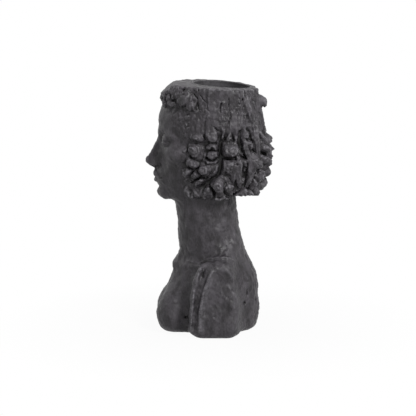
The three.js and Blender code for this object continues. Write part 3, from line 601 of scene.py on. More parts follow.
def workedCurl(u, v, mine):
    # Spiral grooves in a curl, grooves along a lock, hardly any in a lump
    across, along = curlAxes(u, v, mine["turn"], mine["z"], mine["slant"])
    far = np.hypot(across / mine["squash"], along)
    pitch = 2.4 + 0.36 * mine["radius"]
    turned = mine["hand"] * np.arctan2(across, along) / 2
    swirl = np.abs(np.cos(math.pi * far / pitch - turned + mine["phase"]))
    bent = across + 0.2 * far * np.sin(along / mine["radius"] * 2)
    comb = np.abs(np.cos(math.pi * bent / pitch + mine["phase"]))
    worked = np.where(mine["kind"] == "lock", 0.75 * comb**0.8, swirl**0.8) - 0.55
    return np.where(mine["kind"] == "lump", 0.25 * comb - 0.2, worked), far


def wander(u, v):
    # How far the clefts stray from straight, about one either way
    driftU = np.sin(u / 11 + 1.3 * np.sin(v / 17)) + 0.7 * np.sin(v / 8.3 + u / 19 + 2)
    driftV = np.sin(v / 10 + 1.7 * np.sin(u / 15) + 4) + 0.7 * np.sin(u / 7.6 - v / 23 + 1)
    return 0.7 * driftU, 0.7 * driftV


def curlAxes(u, v, turn, z, slant):
    du, dv = u - turn * hair["girth"], v - z
    return dv * np.cos(slant) - du * np.sin(slant), du * np.cos(slant) + dv * np.sin(slant)


def cleftDepth(u, v):
    depth = np.zeros(len(u), np.float32)
    for side in (1, -1):
        for halfWidth, stops in clefts:
            off = offLine(u, v, side, stops)
            depth = np.maximum(depth, hair["cleftDepth"] * bell(off, halfWidth))
    return depth


def offLine(u, v, side, stops):
    # Distance over the hair to a line through stops of degrees and height
    nearest = np.full(len(u), 99, np.float32)
    for (startTurn, startZ), (endTurn, endZ) in zip(stops, stops[1:]):
        du, dv = side * math.radians(endTurn - startTurn) * hair["girth"], endZ - startZ
        fromU, fromV = u - side * math.radians(startTurn) * hair["girth"], v - startZ
        along = np.clip((fromU * du + fromV * dv) / (du * du + dv * dv), 0, 1)
        nearest = np.minimum(nearest, np.hypot(fromU - along * du, fromV - along * dv))
    return nearest


def onHair(turn, z, out=0):
    a, b, middle = (float(v) for v in hairOval(np.float64(z)))
    return np.array([(a + out) * math.sin(turn), middle + (b + out) * math.cos(turn), z])


def onBrow(turn, z, out=0):
    # Where the small curls lie in front: over the skull, drawn in towards the rim
    drawnIn = 10 * smoothStep(z, 414, 440)
    a, b = halfHead + 1 - drawnIn + out, head["depth"] / 2 - 8 - drawnIn + out
    return np.array([a * math.sin(turn), head["forward"] + b * math.cos(turn), z])


def onBun(turn, z, out=0):
    return onHair(turn, z, out + hair["bunOut"])


def pressStrandedRoll(block, start, end, startRadius, endRadius, outward, soft):
    # A roll whose skin is combed into strands that run along it
    pad = soft + grid["band"] + max(startRadius, endRadius)
    cut, x, y, z = around(block, [start, end], pad)
    gap = rollGap(x, y, z, start, end, startRadius, endRadius)
    run = end - start
    side = np.cross(run, outward)
    side /= np.linalg.norm(side) + 1e-9
    middle = (start + end) / 2
    dx, dy, dz = x - middle[0], y - middle[1], z - middle[2]
    across = dx * side[0] + dy * side[1] + dz * side[2]
    over = dx * outward[0] + dy * outward[1] + dz * outward[2]
    mean = (startRadius + endRadius) / 2
    count = max(3, round(2 * math.pi * mean / relief["strandPitch"]))
    comb = relief["strandDepth"] * min(1, mean / 5) * np.cos(count * np.arctan2(across, over + 0.3 * mean))
    pressIn(block, cut, gap - comb, soft)


def pressLock(block, points, radii, middle, soft=1.0):
    for i in range(len(points) - 1):
        outward = points[i] - np.array([0, middle, points[i][2]])
        outward /= np.linalg.norm(outward)
        pressStrandedRoll(block, points[i], points[i + 1], radii[i], radii[i + 1], outward, soft)


def coil(turn, z, radius, seed, base=None):
    base = base or onHair
    middle = base(turn, z)
    perRadian = np.linalg.norm(base(turn + 0.01, z) - middle) / 0.01
    return {"turn": turn, "z": z, "radius": radius, "seed": seed, "base": base, "perRadian": perRadian}


def pressCoil(block, lock):
    radius, seed = lock["radius"], lock["seed"]
    hand = 1 if scatter(seed + 3) > 0.5 else -1
    start = 2 * math.pi * scatter(seed + 61)
    turns = hair["curlTurns"] * (0.85 + 0.3 * scatter(seed + 17))
    slant = math.pi * scatter(seed + 21)
    squash = 0.78 + 0.22 * scatter(seed + 33)
    raised = -0.12 if scatter(seed + 71) < 0.3 else 0.26  # some curls dip in the middle
    base = lock["base"](lock["turn"], lock["z"], -0.62 * radius)
    ball(block, base, (1.1 * radius,) * 3, 2.5)
    steps = max(8, int(8 * turns))
    points, radii = [], []
    for i in range(steps + 1):
        s = i / steps
        angle = start + hand * 2 * math.pi * turns * s
        reach = radius * (0.80 - 0.72 * s)
        long, short = reach * math.cos(angle), reach * squash * math.sin(angle)
        u = long * math.cos(slant) - short * math.sin(slant)
        v = long * math.sin(slant) + short * math.cos(slant)
        turn = lock["turn"] + u / lock["perRadian"]
        points.append(lock["base"](turn, lock["z"] + v, radius * (0.1 + raised * s)))
        radii.append(radius * (0.32 - 0.07 * s) * min(1, 0.45 + 4 * s))
    pressLock(block, points, radii, 10, 0.8)


def pressHangingLock(block, stops, mirror, seed):
    sway = 1.5 * (scatter(seed) - 0.5) if mirror < 0 else 0
    at = np.linspace(0, len(stops) - 1, 5 * (len(stops) - 1) + 1)
    turn, z, radii = [np.interp(at, np.arange(len(stops)), values) for values in zip(*stops)]
    turn = np.radians(turn + sway) * mirror + 0.02 * np.sin(at * 3.1 + seed)
    share = at / at[-1]
    sink = 7 * smoothStep(share, 0.72, 1) + 5 * (1 - smoothStep(share, 0, 0.2))
    points = [onHair(t, h, -0.35 * r - d) for t, h, r, d in zip(turn, z, radii, sink)]
    pressLock(block, points, list(radii), 10, 2.0)


def layFringe():
    coils = []
    for row in range(hair["fringeRows"]):
        count = hair["fringeCount"] - row
        for i in range(count):
            share = (2 * i) / (count - 1) - 1
            turn = math.pi - (1.12 - 0.04 * row) * share + 0.05 * (scatter(i + 40 * row) - 0.5)
            z = hairline + 1 + 9 * row + 6 * (scatter(i + 90 + 20 * row) - 0.5)
            size = 0.75 + 0.5 * scatter(i + 50 + 17 * row) + 0.25 * (abs(share) < 0.45)
            coils.append(coil(turn, z, size * hair["fringeRadius"], 1600 + 30 * row + i, onBrow))
    return coils


def pressCrown(block):
    count = hair["crownLocks"]
    for i in range(count):
        turn = math.radians(-116 + 232 * (i + 0.8 * scatter(i + 2100)) / count)
        top, low = hair["crownTop"], 325 + 75 * scatter(i + 2200)
        size = 3.5 + 5 * scatter(i + 2300) ** 2
        lean = 0.07 * (scatter(i + 2400) - 0.5)
        points, radii = [], []
        for step in range(11):
            s = step / 10
            z = top + (low - top) * s
            wave = 0.025 * math.sin(6 * s + 6 * scatter(i + 2500))
            radii.append(size * (1.1 - 0.7 * s * s))
            sink = 0.62 * size + 4.5 * float(smoothStep(s, 0.35, 1))
            points.append(onHair(turn + lean * s + wave, z, 0.8 * math.sin(9 * s + i) - sink))
        pressLock(block, points, radii, 7, 2.2)


def pressHair(block):
    pressHairMass(block, layCurls())
    pressCrown(block)
    ball(block, onBrow(math.radians(123), 413, -4), (12, 12, 11), 3)
    degrees, z, radius = hair["knob"]
    for lock in layFringe() + [coil(math.radians(degrees), z, radius, 520, onBun)]:
        pressCoil(block, lock)
    for i, stops in enumerate(hangingLocks):
        for mirror in (1, -1):
            pressHangingLock(block, stops, mirror, i + 2600)


# Fine relief, in millimetres outwards, at any list of points
relief = {
    "handSwell": 0.7,
    "skinGrain": 0.42,
    "hairGrain": 0.75,
    "creases": 1.1,
    "strandPitch": 4.6,
    "strandDepth": 0.55,
    "strokePitch": 8,
    "strokeDepth": 0.75,
    "crackWidth": 1.05,
    "crackDepth": 3,
    "crumbs": 2.3,
    "most": 3.8,
    "drags": 0.42,
    "toolMarks": 0.6,
    "pits": 22,
    "seam": 1.3,
}

# Down the cut of each arm, from the foot up: mm from front to back and mm of height, then
# how high the ridge stands and how far it slopes away behind
armEdges = [
    ([(-17, 20), (-16, 49), (-11, 78), (-1, 107), (5, 118)], 4.2, 11),
    ([(-31, 20), (-29, 64), (-22, 101), (-14, 126)], 2.4, 7),
]

# Pits on the bust's left: mm from front to back, mm of height, half width, how tall and how deep
leftPits = [
    (66, 70, 1.7, 3.6, 3.6), (62, 54, 2.2, 1.4, 3.4), (82, 54, 2, 1.5, 3.2),
    (-40, 31, 2.8, 0.9, 3.4), (-35, 27, 1.8, 1.2, 2.4),
]


def clayNoise(p, size, seed, waves=7):
    # Even lumps of about this many mm, from waves in all directions
    rng = np.random.default_rng(seed)
    total = np.zeros(len(p), np.float32)
    for _ in range(waves):
        run = rng.normal(size=3)
        run *= 2 * math.pi * rng.uniform(0.7, 1.4) / size / np.linalg.norm(run)
        total += np.sin(p @ run.astype(np.float32) + np.float32(rng.uniform(0, 6.28)))
    return total / math.sqrt(waves)


def handSwell(p):
    x, y, z = p.T
    x = np.abs(x)
    return -(0.8 * np.sin(x / 9 + z / 17) * np.sin(y / 11 - z / 13) + 0.5 * np.sin(z / 8 + y / 15))


def hairShare(p):
    x, y, z = p.T
    a, b, middle = hairOval(z)
    out = np.sqrt((x / a) ** 2 + ((y - middle) / b) ** 2)
    behind = smoothStep(y - hairEdge(z), -3, 3)
    covered = np.maximum(behind, smoothStep(z, hairline - 8, hairline - 2))
    return covered * smoothStep(out, 0.86, 0.93) * smoothStep(z, hair["foot"] - 12, hair["foot"] - 6)


def brushed(p, inHair):
    # Strokes pulled down the crown with a comb, in patches, and thin cracks between them
    x, y, z = p.T
    oval = hairOval(z)
    turn = np.arctan2(x / oval[0], (y - oval[2]) / oval[1])
    across = turn * 76 + 3.5 * np.sin(z / 21 + 3 * turn)
    along = np.stack([x, y, z * 0.22], axis=1)
    broad, fine = clayNoise(along, 17, 5), clayNoise(along, 6.5, 15)
    stroke = np.abs(np.sin(math.pi * (across + 4 * broad) / relief["strokePitch"])) ** 0.7 - 0.6
    patch = np.clip(0.2 + 0.8 * clayNoise(p, 30, 6), 0, 1.4)
    swell = relief["strokeDepth"] * (0.9 * broad + 0.25 * fine * patch + 0.7 * patch * stroke)
    crown = smoothStep(z, hair["strandHeight"] - 14, hair["strandHeight"] + 20) * inHair
    u, v = turn * hair["girth"] + 1.2 * np.sin(z / 4.3), z + 1.2 * np.sin(across / 5.1)
    cracked = np.zeros(len(p), np.float32)
    rows = np.nonzero(crown > 0.02)[0]
    for side in (1, -1):
        for stops in cracks:
            off = offLine(u[rows], v[rows], side, stops)
            cracked[rows] = np.maximum(cracked[rows], bell(off, relief["crackWidth"]))
    return crown * (swell - relief["crackDepth"] * cracked)


def crumbled(p, inHair):
    # Rounded crumbs with sharp creases between, roughest by the temples and in the curls
    _, y, z = p.T
    crumbs = np.abs(clayNoise(p, 12, 51)) + 0.5 * np.abs(clayNoise(p, 6.5, 52))
    front = 0.65 * (1 - smoothStep(y, -42, 0))
    low = 1 - smoothStep(z, hair["strandHeight"] - 4, hair["strandHeight"] + 26)
    patch = 0.75 * smoothStep(clayNoise(p, 28, 53), 0.1, 1.0)
    amount = np.maximum(np.maximum(front, 0.5 * low), patch * (1 - 0.5 * low))
    return relief["crumbs"] * inHair * amount * np.minimum(crumbs - 0.95, 0.7)


def behindEdge(p, stops):
    # How far behind a ridge's edge each point lies, and how high the ridge reaches
    heights = [stop[1] for stop in stops]
    return p[:, 1] - np.interp(p[:, 2], heights, [stop[0] for stop in stops]), heights[-1]


def armRidges(p):
    # Two ridges of clay left standing down the cut of the arm
    x, z = np.abs(p[:, 0]), p[:, 2]
    total = np.zeros(len(p), np.float32)
    for stops, height, width in armEdges:
        behind, top = behindEdge(p, stops)
        ridge = between(behind, -4.5, -0.5, -0.5, width) - 0.5 * bell(behind + 9, 5)
        total += (1 - smoothStep(z, top - 8, top + 10)) * height * ridge
    return smoothStep(x, 58, 68) * smoothStep(z, 8, 16) * total


def armRubbedAndLit(p):
    # The slope behind the taller ridge is made pale: a painted highlight where it faces the light, and
    # rubbed wear
    stops, _, width = armEdges[0]
    behind, top = behindEdge(p, stops)
    slope = between(behind, -1.5, 0.5, width - 4, width)
    return slope * smoothStep(np.abs(p[:, 0]), 58, 68) * between(p[:, 2], 6, 16, top - 12, top + 6)


def dragged(p, onSkin):
    # Upright drags of a brush and a rib over the neck, back and arms
    x, y, z = p.T
    along = np.stack([x, y, z * 0.16], axis=1)
    drags = clayNoise(along, 9, 61) + 0.6 * clayNoise(along, 4.2, 62)
    return relief["drags"] * onSkin * drags * smoothStep(clayNoise(p, 50, 63), -0.8, 0.6) * (y > -45)


def toolMarks(p, onSkin):
    # Flat strokes of a modelling tool, with a low edge where one ends over the next
    x, y, z = p.T
    lean = clayNoise(p, 60, 8)
    along = (np.abs(x) * 0.7 + y * 0.5) / 17 + z / 34 + 0.8 * lean
    step = along - np.floor(along)
    edge = step * smoothStep(-step, -1, -0.86)
    return relief["toolMarks"] * onSkin * (edge - 0.4) * smoothStep(clayNoise(p, 45, 9), -0.4, 0.6)


def shoulderSeam(p):
    # Thin raised line over the shoulder, where two slabs of clay meet
    x, y, z = np.abs(p[:, 0]), p[:, 1], p[:, 2]
    line = np.interp(y, (-40, -19, -2, 19, 36, 48), (121, 118, 125.5, 128, 127, 119))
    over = z - 0.176 * x - line
    held = smoothStep(x, 24, 34) * between(y, -44, -34, 40, 50)
    return relief["seam"] * held * (bell(over, 1.8) - 0.35 * bell(over + 4, 3))


def pitted(p):
    # Small pits scattered round the foot, and those that are listed
    x, y, z = p.T
    rng = np.random.default_rng(41)
    out = np.zeros(len(p), np.float32)
    for _ in range(relief["pits"]):
        turn, up = rng.uniform(0, 2 * math.pi), rng.uniform(8, 110)
        size, depth = rng.uniform(1.2, 2.6), rng.uniform(0.5, 1.5)
        tall = rng.uniform(1, 2.4)
        offX, offY = x - 92 * math.cos(turn), y - 86 * math.sin(turn)
        near = np.nonzero((np.abs(z - up) < 8 * size) & (np.hypot(offX, offY) < 18))[0]
        side = offY[near] * math.cos(turn) - offX[near] * math.sin(turn)
        out[near] -= depth * bell(np.hypot(side, (z[near] - up) / tall), size)
    for back, up, size, tall, depth in leftPits:
        near = np.nonzero((np.abs(y - back) < 9) & (np.abs(z - up) < 14) & (x > 20))[0]
        out[near] -= depth * bell(np.hypot(y[near] - back, (z[near] - up) / tall), size)
    return out


def reliefAt(p):
    inHair = hairShare(p).astype(np.float32)
    onSkin = 1 - inHair
    skin = relief["handSwell"] * handSwell(p)
    skin += relief["skinGrain"] * (clayNoise(p, 13, 2) + 0.5 * clayNoise(p, 6, 12)) * (0.5 + 0.5 * onSkin)
    rough = clayNoise(p, 6.5, 3) + 0.6 * clayNoise(p, 3.6, 4)
    uneven = 0.55 + 0.45 * np.clip(clayNoise(p, 40, 7), -1, 1)
    crease = np.maximum(1 - np.abs(clayNoise(p, 12, 10)) / 0.22, 0)
    crease *= smoothStep(clayNoise(p, 30, 11), -0.6, 0.6)
    lumpy = inHair * (relief["hairGrain"] * uneven * rough - relief["creases"] * crease)
    combed = brushed(p, inHair) + crumbled(p, inHair)
    body = toolMarks(p, onSkin) + dragged(p, onSkin) + armRidges(p) + pitted(p) + shoulderSeam(p)
    return np.clip(skin + lumpy + combed + body, -relief["most"], relief["most"])


def rimAt(y):
    # The rim falls towards the back, a little more steeply on its way
    return hair["rimHeight"] - hair["rimFall"] * (np.maximum(y - rimFront, 0) / hair["depth"]["rim"]) ** 1.8


def trimEnds(block):
    # The rim: uneven, a little below the cup's lip, and rolled over at its edge
    x, y, z = block["x"][:, None, None], block["y"][None, :, None], block["z"][None, None, :]
    uneven = 0.5 * np.sin(x / 6.5 + 0.8 * np.sin(y / 7)) * np.sin(y / 8 + 1)
    uneven = uneven + 0.35 * np.sin(x / 3.1 - y / 3.7)
    outside = np.hypot(x, y - cup["behindAxis"]) - cup["rimRadius"] - cup["wall"] - cup["collar"]
    fall = hair["rimStep"] * smoothStep(outside, 1, 4) + hair["rimRoll"] * smoothStep(outside, 2, 22)
    rolled = np.maximum(hair["fringeRoll"] - y, 0) * 0.8
    field = block["field"]
    field[...] = softMax(field, z - rimAt(y) + fall + rolled + uneven, 2.0)
    # The foot: flat, with its edge rounded
    r, wide = torso["footRound"], grid["beyond"]
    cut, x, y, z = window(block, (-wide, -wide, grid["low"] - 4), (wide, wide, 30))
    side, under = field[cut] + r, torso["footGap"] - z + r + 0 * x + 0 * y
    edge = np.sqrt(np.maximum(side, 0) ** 2 + np.maximum(under, 0) ** 2)
    field[cut] = np.minimum(np.maximum(side, under), 0) + edge - r


def mirrored(half):
    whole = makeBlock(-1)
    whole["field"] = np.concatenate([half["field"][:0:-1], half["field"]])
    return whole


def blockOrigin(block):
    return np.array([block["x"][0], block["y"][0], block["z"][0]])


def meshFromField(name, block, stride=1):
    step = grid["step"] * stride
    volume = openvdb.FloatGrid()
    volume.background = 1000.0
    volume.copyFromArray(np.ascontiguousarray(block["field"][::stride, ::stride, ::stride]))
    points, quads = volume.convertToQuads(isovalue=0.0)
    points = points * step + blockOrigin(block) + (axisX, axisY, 0)
    return fastMesh(name, points * 0.001, quads)


def fastMesh(name, points, quads):
    mesh = bpy.data.meshes.new(name)
    mesh.vertices.add(len(points))
    mesh.vertices.foreach_set("co", points.astype(np.float32).ravel())
    mesh.loops.add(quads.size)
    mesh.loops.foreach_set("vertex_index", quads.astype(np.int32).ravel())
    mesh.polygons.add(len(quads))
    mesh.polygons.foreach_set("loop_start", np.arange(0, quads.size, 4, dtype=np.int32))
    mesh.update(calc_edges=True)
    mesh.validate()
    return addObject(name, mesh)


def volumeOf(mesh):
    form = bmesh.new()
    form.from_mesh(mesh)
    volume = form.calc_volume(signed=True)
    form.free()
    return volume


def report(stage, thing):
    litres = round(1000 * volumeOf(thing.data), 3)
    print(stage, len(thing.data.polygons), "faces,", litres, "litres")


def evaluated(thing):
    graph = bpy.context.evaluated_depsgraph_get()
    return bpy.data.meshes.new_from_object(thing.evaluated_get(graph))


def applyModifiers(thing):
    made, old = evaluated(thing), thing.data
    thing.modifiers.clear()
    thing.data = made
    made.name = thing.name
    bpy.data.meshes.remove(old)


def softShade(thing, degrees):
    thing.data.shade_smooth()
    thing.data.set_sharp_from_angle(angle=math.radians(degrees))


def smoothCurls(block):
    # A damp sponge over the curls takes the sharp tips off the crumbs
    low, high, wide = hair["foot"] - 10, hair["strandHeight"] + 30, grid["beyond"]
    cut, _, y, z = window(block, (-wide, -60, low), (wide, wide, high))
    field = block["field"][cut]
    rough = np.clip(field, -grid["band"], grid["band"])
    share = hair["sponge"] * between(z, low, low + 12, high - 30, high) * smoothStep(y, -58, -46)
    share = share * (np.abs(field) < grid["band"] - 1)
    block["field"][cut] += share * (blurred(rough, 1) - rough)


def sculptBust():
    headHalf, bodyHalf = makeBlock(0), makeBlock(0)
    pressSkull(headHalf)
    pressTorso(bodyHalf)
    plain = softMin(headHalf["field"], bodyHalf["field"], torso["join"])
    hollow = mirrored({**headHalf, "field": plain})
    pressHairMass(hollow)
    pressFace(headHalf)
    headHalf["field"] = softMin(headHalf["field"], bodyHalf["field"], torso["join"])
    clay = mirrored(headHalf)
    pressHair(clay)
    print("clay pressed", clay["field"].shape)
    near = np.nonzero(np.abs(clay["field"]) < grid["band"])
    p = np.stack([clay["x"][near[0]], clay["y"][near[1]], clay["z"][near[2]]], axis=1)
    clay["field"][near] -= reliefAt(p)
    smoothCurls(clay)
    trimEnds(clay)
    print("relief cut at", len(p), "points")
    return clay, hollow


clay, hollow = sculptBust()
bust = meshFromField("bust", clay)
report("bust meshed", bust)


# Cutters for the casting's inside: hollow, bore of the cup and recess of the base plate
shell = {
    "wall": 8,
    "hairWall": 14,  # behind the clefts of the hair
    "ringBelow": 8,  # solid ring left under the collar
    "ledge": 20,  # how far the ledge over the plate reaches in from the foot's outline
    "ledgeTop": 26,
    "ledgeFade": 22,
    "coarse": 4,  # the hollow needs only every fourth step of the grid
    "triangles": 190000,
    "leastCut": 1e-9,  # cubic metres
    "sharp": 70,  # degrees
}


def drum(name, radius, low, high, sides=160, at=(0, 0)):
    turn = np.arange(sides) * 2 * math.pi / sides
    ring = np.stack([at[0] + radius * np.cos(turn), at[1] + radius * np.sin(turn)], axis=1)
    return prism(name, ring, low, high)


def prism(name, ring, low, high):
    form = bmesh.new()
    rows = []
    for z in (low, high):
        row = [(0.001 * (x + axisX), 0.001 * (y + axisY), 0.001 * z) for x, y in ring]
        rows.append([form.verts.new(spot) for spot in row])
    for i in range(len(ring)):
        j = (i + 1) % len(ring)
        form.faces.new((rows[0][i], rows[0][j], rows[1][j], rows[1][i]))
    form.faces.new(rows[1])
    form.faces.new(rows[0][::-1])
    bmesh.ops.recalc_face_normals(form, faces=form.faces)
    mesh = bpy.data.meshes.new(name)
    form.to_mesh(mesh)
    form.free()
    return addObject(name, mesh)


def cutAway(thing, cutter):
    before = volumeOf(thing.data)
    for solver in ("MANIFOLD", "EXACT"):
        cut = thing.modifiers.new("cut", "BOOLEAN")
        cut.operation, cut.solver, cut.object = "DIFFERENCE", solver, cutter
        made = evaluated(thing)
        thing.modifiers.clear()
        after = volumeOf(made)
        if 0 < after < before - shell["leastCut"]:
            thing.data = made
            break
        print("cut with", solver, "left", after, "of", before)
    bpy.data.objects.remove(cutter)


def plateOutline(grow):
    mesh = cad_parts["base_plate"].data
    p = np.array([v.co[:] for v in mesh.vertices]) * 1000 - (axisX, axisY, 0)
    far = p[np.hypot(p[:, 0], p[:, 1]) > 30]
    turns = np.arctan2(far[:, 1], far[:, 0])
    ring = []
    for turn in np.unique(np.round(turns, 3)):
        x, y, _ = far[np.abs(turns - turn) < 0.002][0]
        reach = math.hypot(x, y)
        ring.append((x * (reach + grow) / reach, y * (reach + grow) / reach))
    return ring


def hollowCutter(hollow):
    field, z = hollow["field"], hollow["z"][None, None, :]
    low = 1 - smoothStep(z, shell["ledgeTop"], shell["ledgeTop"] + shell["ledgeFade"])
    high = smoothStep(z, hair["foot"] - 20, hair["foot"] + 10)
    wall = mix(shell["wall"], shell["ledge"], low) + (shell["hairWall"] - shell["wall"]) * high
    ceiling = rimAt(cup["behindAxis"] + cup["rimRadius"]) - cup["collarHeight"] - shell["ringBelow"]
    room = np.maximum(np.maximum(field + wall, z - ceiling), 3 - z)
    return meshFromField("hollow", {**hollow, "field": room}, shell["coarse"])


def thinOut(thing, triangles):
    mesh = thing.data
    count = sum(len(face.vertices) - 2 for face in mesh.polygons)
    if count > triangles:
        less = thing.modifiers.new("less", "DECIMATE")
        less.ratio = triangles / count
        applyModifiers(thing)


thinOut(bust, shell["triangles"])
report("bust thinned to", bust)
cupAt = (0, cup["behindAxis"])
collarFoot = rimAt(cup["behindAxis"] + cup["rimRadius"]) - cup["collarHeight"]
boreRadius = cup["rimRadius"] + cup["wall"] + cup["gap"]
cutAway(bust, hollowCutter(hollow))
cutAway(bust, drum("bore", boreRadius, collarFoot - 40, 460, at=cupAt))
cutAway(bust, drum("counterbore", boreRadius + cup["collar"], collarFoot, 460, at=cupAt))
cutAway(bust, prism("recess", plateOutline(cup["gap"]), -5, plateTop))
report("inside cut out", bust)


# Masks for the finish, from how much clay lies round each place: hollows get painted shade,
# and ridges a pale colour that is painted highlight as well as dust and wear
masks = {
    "fine": 3,  # cells of the grid either way
    "broad": 8,
}


def sampleGrid(values, p):
    size = np.array(values.shape) - 2
    q = np.clip((p - blockOrigin(clay)) / np.float32(grid["step"]), 0, size)
    i = q.astype(np.int32)
    t = q - i
    total = np.zeros(len(p), np.float32)
    for dx in (0, 1):
        for dy in (0, 1):
            for dz in (0, 1):
                share = (t[:, 0] if dx else 1 - t[:, 0]) * (t[:, 1] if dy else 1 - t[:, 1])
                share = share * (t[:, 2] if dz else 1 - t[:, 2])
                total += share * values[i[:, 0] + dx, i[:, 1] + dy, i[:, 2] + dz]
    return total


def clayMasks(mesh):
    count = len(mesh.vertices)
    p = np.zeros(count * 3, np.float32)
    mesh.vertices.foreach_get("co", p)
    p = p.reshape(-1, 3) * 1000 - np.array((axisX, axisY, 0), np.float32)
    fill = np.clip(0.5 - clay["field"] / grid["step"], 0, 1)
    fine = sampleGrid(blurred(fill, masks["fine"]), p) - 0.5
    broad = sampleGrid(blurred(fill, masks["broad"]), p) - 0.5
    grime = smoothStep(clayNoise(p * (1, 1, 0.55), 34, 71) + 0.5 * clayNoise(p, 12, 72), 0.1, 1.5)
    for name, values in (("fine", fine), ("broad", broad), ("grime", grime), ("rubbedAndLit", armRubbedAndLit(p))):
        mask = mesh.attributes.new(name, "FLOAT", "POINT")
        mask.data.foreach_set("value", values.astype(np.float32))
    print("masks laid on", count, "points")


def settleBust():
    softShade(bust, shell["sharp"])
    clayMasks(bust.data)
    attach(bust, "bust")
    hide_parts("bust_shell")


settleBust()


# Turned pieces: a closed profile of radius and height, in mm, swept round an upright axis
def sweep(name, profile, sides, at, reshape=None):
    r, z = np.array(profile, float).T
    turn = np.arange(sides) * 2 * math.pi / sides
    x, y = r[:, None] * np.cos(turn), r[:, None] * np.sin(turn)
    points = np.stack(np.broadcast_arrays(x, y, z[:, None]), axis=2)
    points += (*at, 0)
    if reshape:
        points[:, :, 2] = reshape(points, r[:, None], turn[None, :])
    row, side = np.meshgrid(np.arange(len(r)), np.arange(sides), indexing="ij")
    nextRow, nextSide = (row + 1) % len(r), (side + 1) % sides
    corners = [(row, side), (row, nextSide), (nextRow, nextSide), (nextRow, side)]
    quads = np.stack([(a * sides + b).ravel() for a, b in corners], axis=1)
    return fastMesh(name, (points.reshape(-1, 3) + (axisX, axisY, 0)) * 0.001, quads)


def corner(r, z, radius, start, end, steps=4):
    turns = [math.radians(start + (end - start) * i / steps) for i in range(steps + 1)]
    return [(r + radius * math.cos(t), z + radius * math.sin(t)) for t in turns]


def makeCup():
    top, lip = hair["rimHeight"], cup["lip"]
    floorTop = top - cup["depth"]
    under = floorTop - cup["floor"]
    inner, low, hole = cup["rimRadius"], cup["floorRadius"], cup["drainRadius"]
    outer = inner + cup["wall"]
    collar = outer + cup["collar"]
    profile = [(hole, under + 0.6), (hole, floorTop - 1)]
    profile += [(hole + 1, floorTop - 0.2)] + [(r, floorTop) for r in np.linspace(hole + 3, low - 8, 12)]
    profile += corner(low - 7, floorTop + 8, 8, -90, -5)
    for z in np.linspace(floorTop + 12, top - lip, 48):
        along = (z - floorTop - 8) / (cup["depth"] - 8)
        profile.append((low + 1 + (inner - low - 1) * along + cup["turningMarks"] * math.sin(1.9 * z), z))
    profile += corner(inner + lip, top - lip, lip, 180, 90)
    profile += corner(collar - lip, top - lip, lip, 90, 0)
    profile += [(collar, collarFoot), (outer, collarFoot), (outer, collarFoot - 6)]
    profile += corner(low + cup["wall"] - 4, under + 4, 4, 0, -90) + [(hole + 0.6, under)]

    def fitRim(points, r, turn):
        y, z = points[:, :, 1], points[:, :, 2]
        share = smoothStep(z, collarFoot, top - 3)
        onFloor = (np.abs(z - floorTop) < 0.01) * between(r, hole + 7, hole + 10, low - 12, low - 9)
        rib = np.maximum(np.cos(cup["ribs"] * turn), 0) ** 6
        return z - share * (top - rimAt(y)) + cup["ribHeight"] * onFloor * rib

    piece = sweep("cup", profile[::-1], cup["sides"], cupAt, fitRim)
    softShade(piece, cup["sharp"])
    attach(piece, "bust")
    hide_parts("planting_cup")
    return piece


plug = {
    "headRadius": 12,
    "headHeight": 3,
    "below": 3,  # how far the bung reaches below the cup
    "tabHalfWidth": 6,
    "tabHeight": 13,
    "tabThickness": 3.5,
    "eyeRadius": 3.4,
    "edge": 0.6,
    "beads": 0.2,  # sealing beads round the bung
    "sharp": 45,
    "sides": 96,
}


def makePlug():
    floorTop = hair["rimHeight"] - cup["depth"]
    neck, foot = cup["drainRadius"] - cup["gap"], floorTop - cup["floor"] - plug["below"]
    head, headTop, edge = plug["headRadius"], floorTop + plug["headHeight"], plug["edge"]
    profile = [(0.01, foot), (neck - 1.6, foot), (neck - 0.8, foot + 1.2)]
    for z in np.linspace(foot + 2, floorTop - 1, 9):
        profile.append((neck - 0.4 + plug["beads"] * math.cos(2.1 * z), z))
    profile += [(neck, floorTop)] + corner(head - edge, floorTop + edge, edge, -90, 0)
    profile += corner(head - 1.6, headTop - 1.4, 1.2, 20, 80) + [(head - 4, headTop), (0.01, headTop)]
    bung = sweep("plug", profile, plug["sides"], cupAt)
    join = bung.modifiers.new("join", "BOOLEAN")
    join.operation, join.solver, join.object = "UNION", "MANIFOLD", makeTab(headTop)
    tab = join.object
    applyModifiers(bung)
    bpy.data.objects.remove(tab)
    softShade(bung, plug["sharp"])
    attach(bung, "plug")
    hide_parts("drain_plug")
    return bung


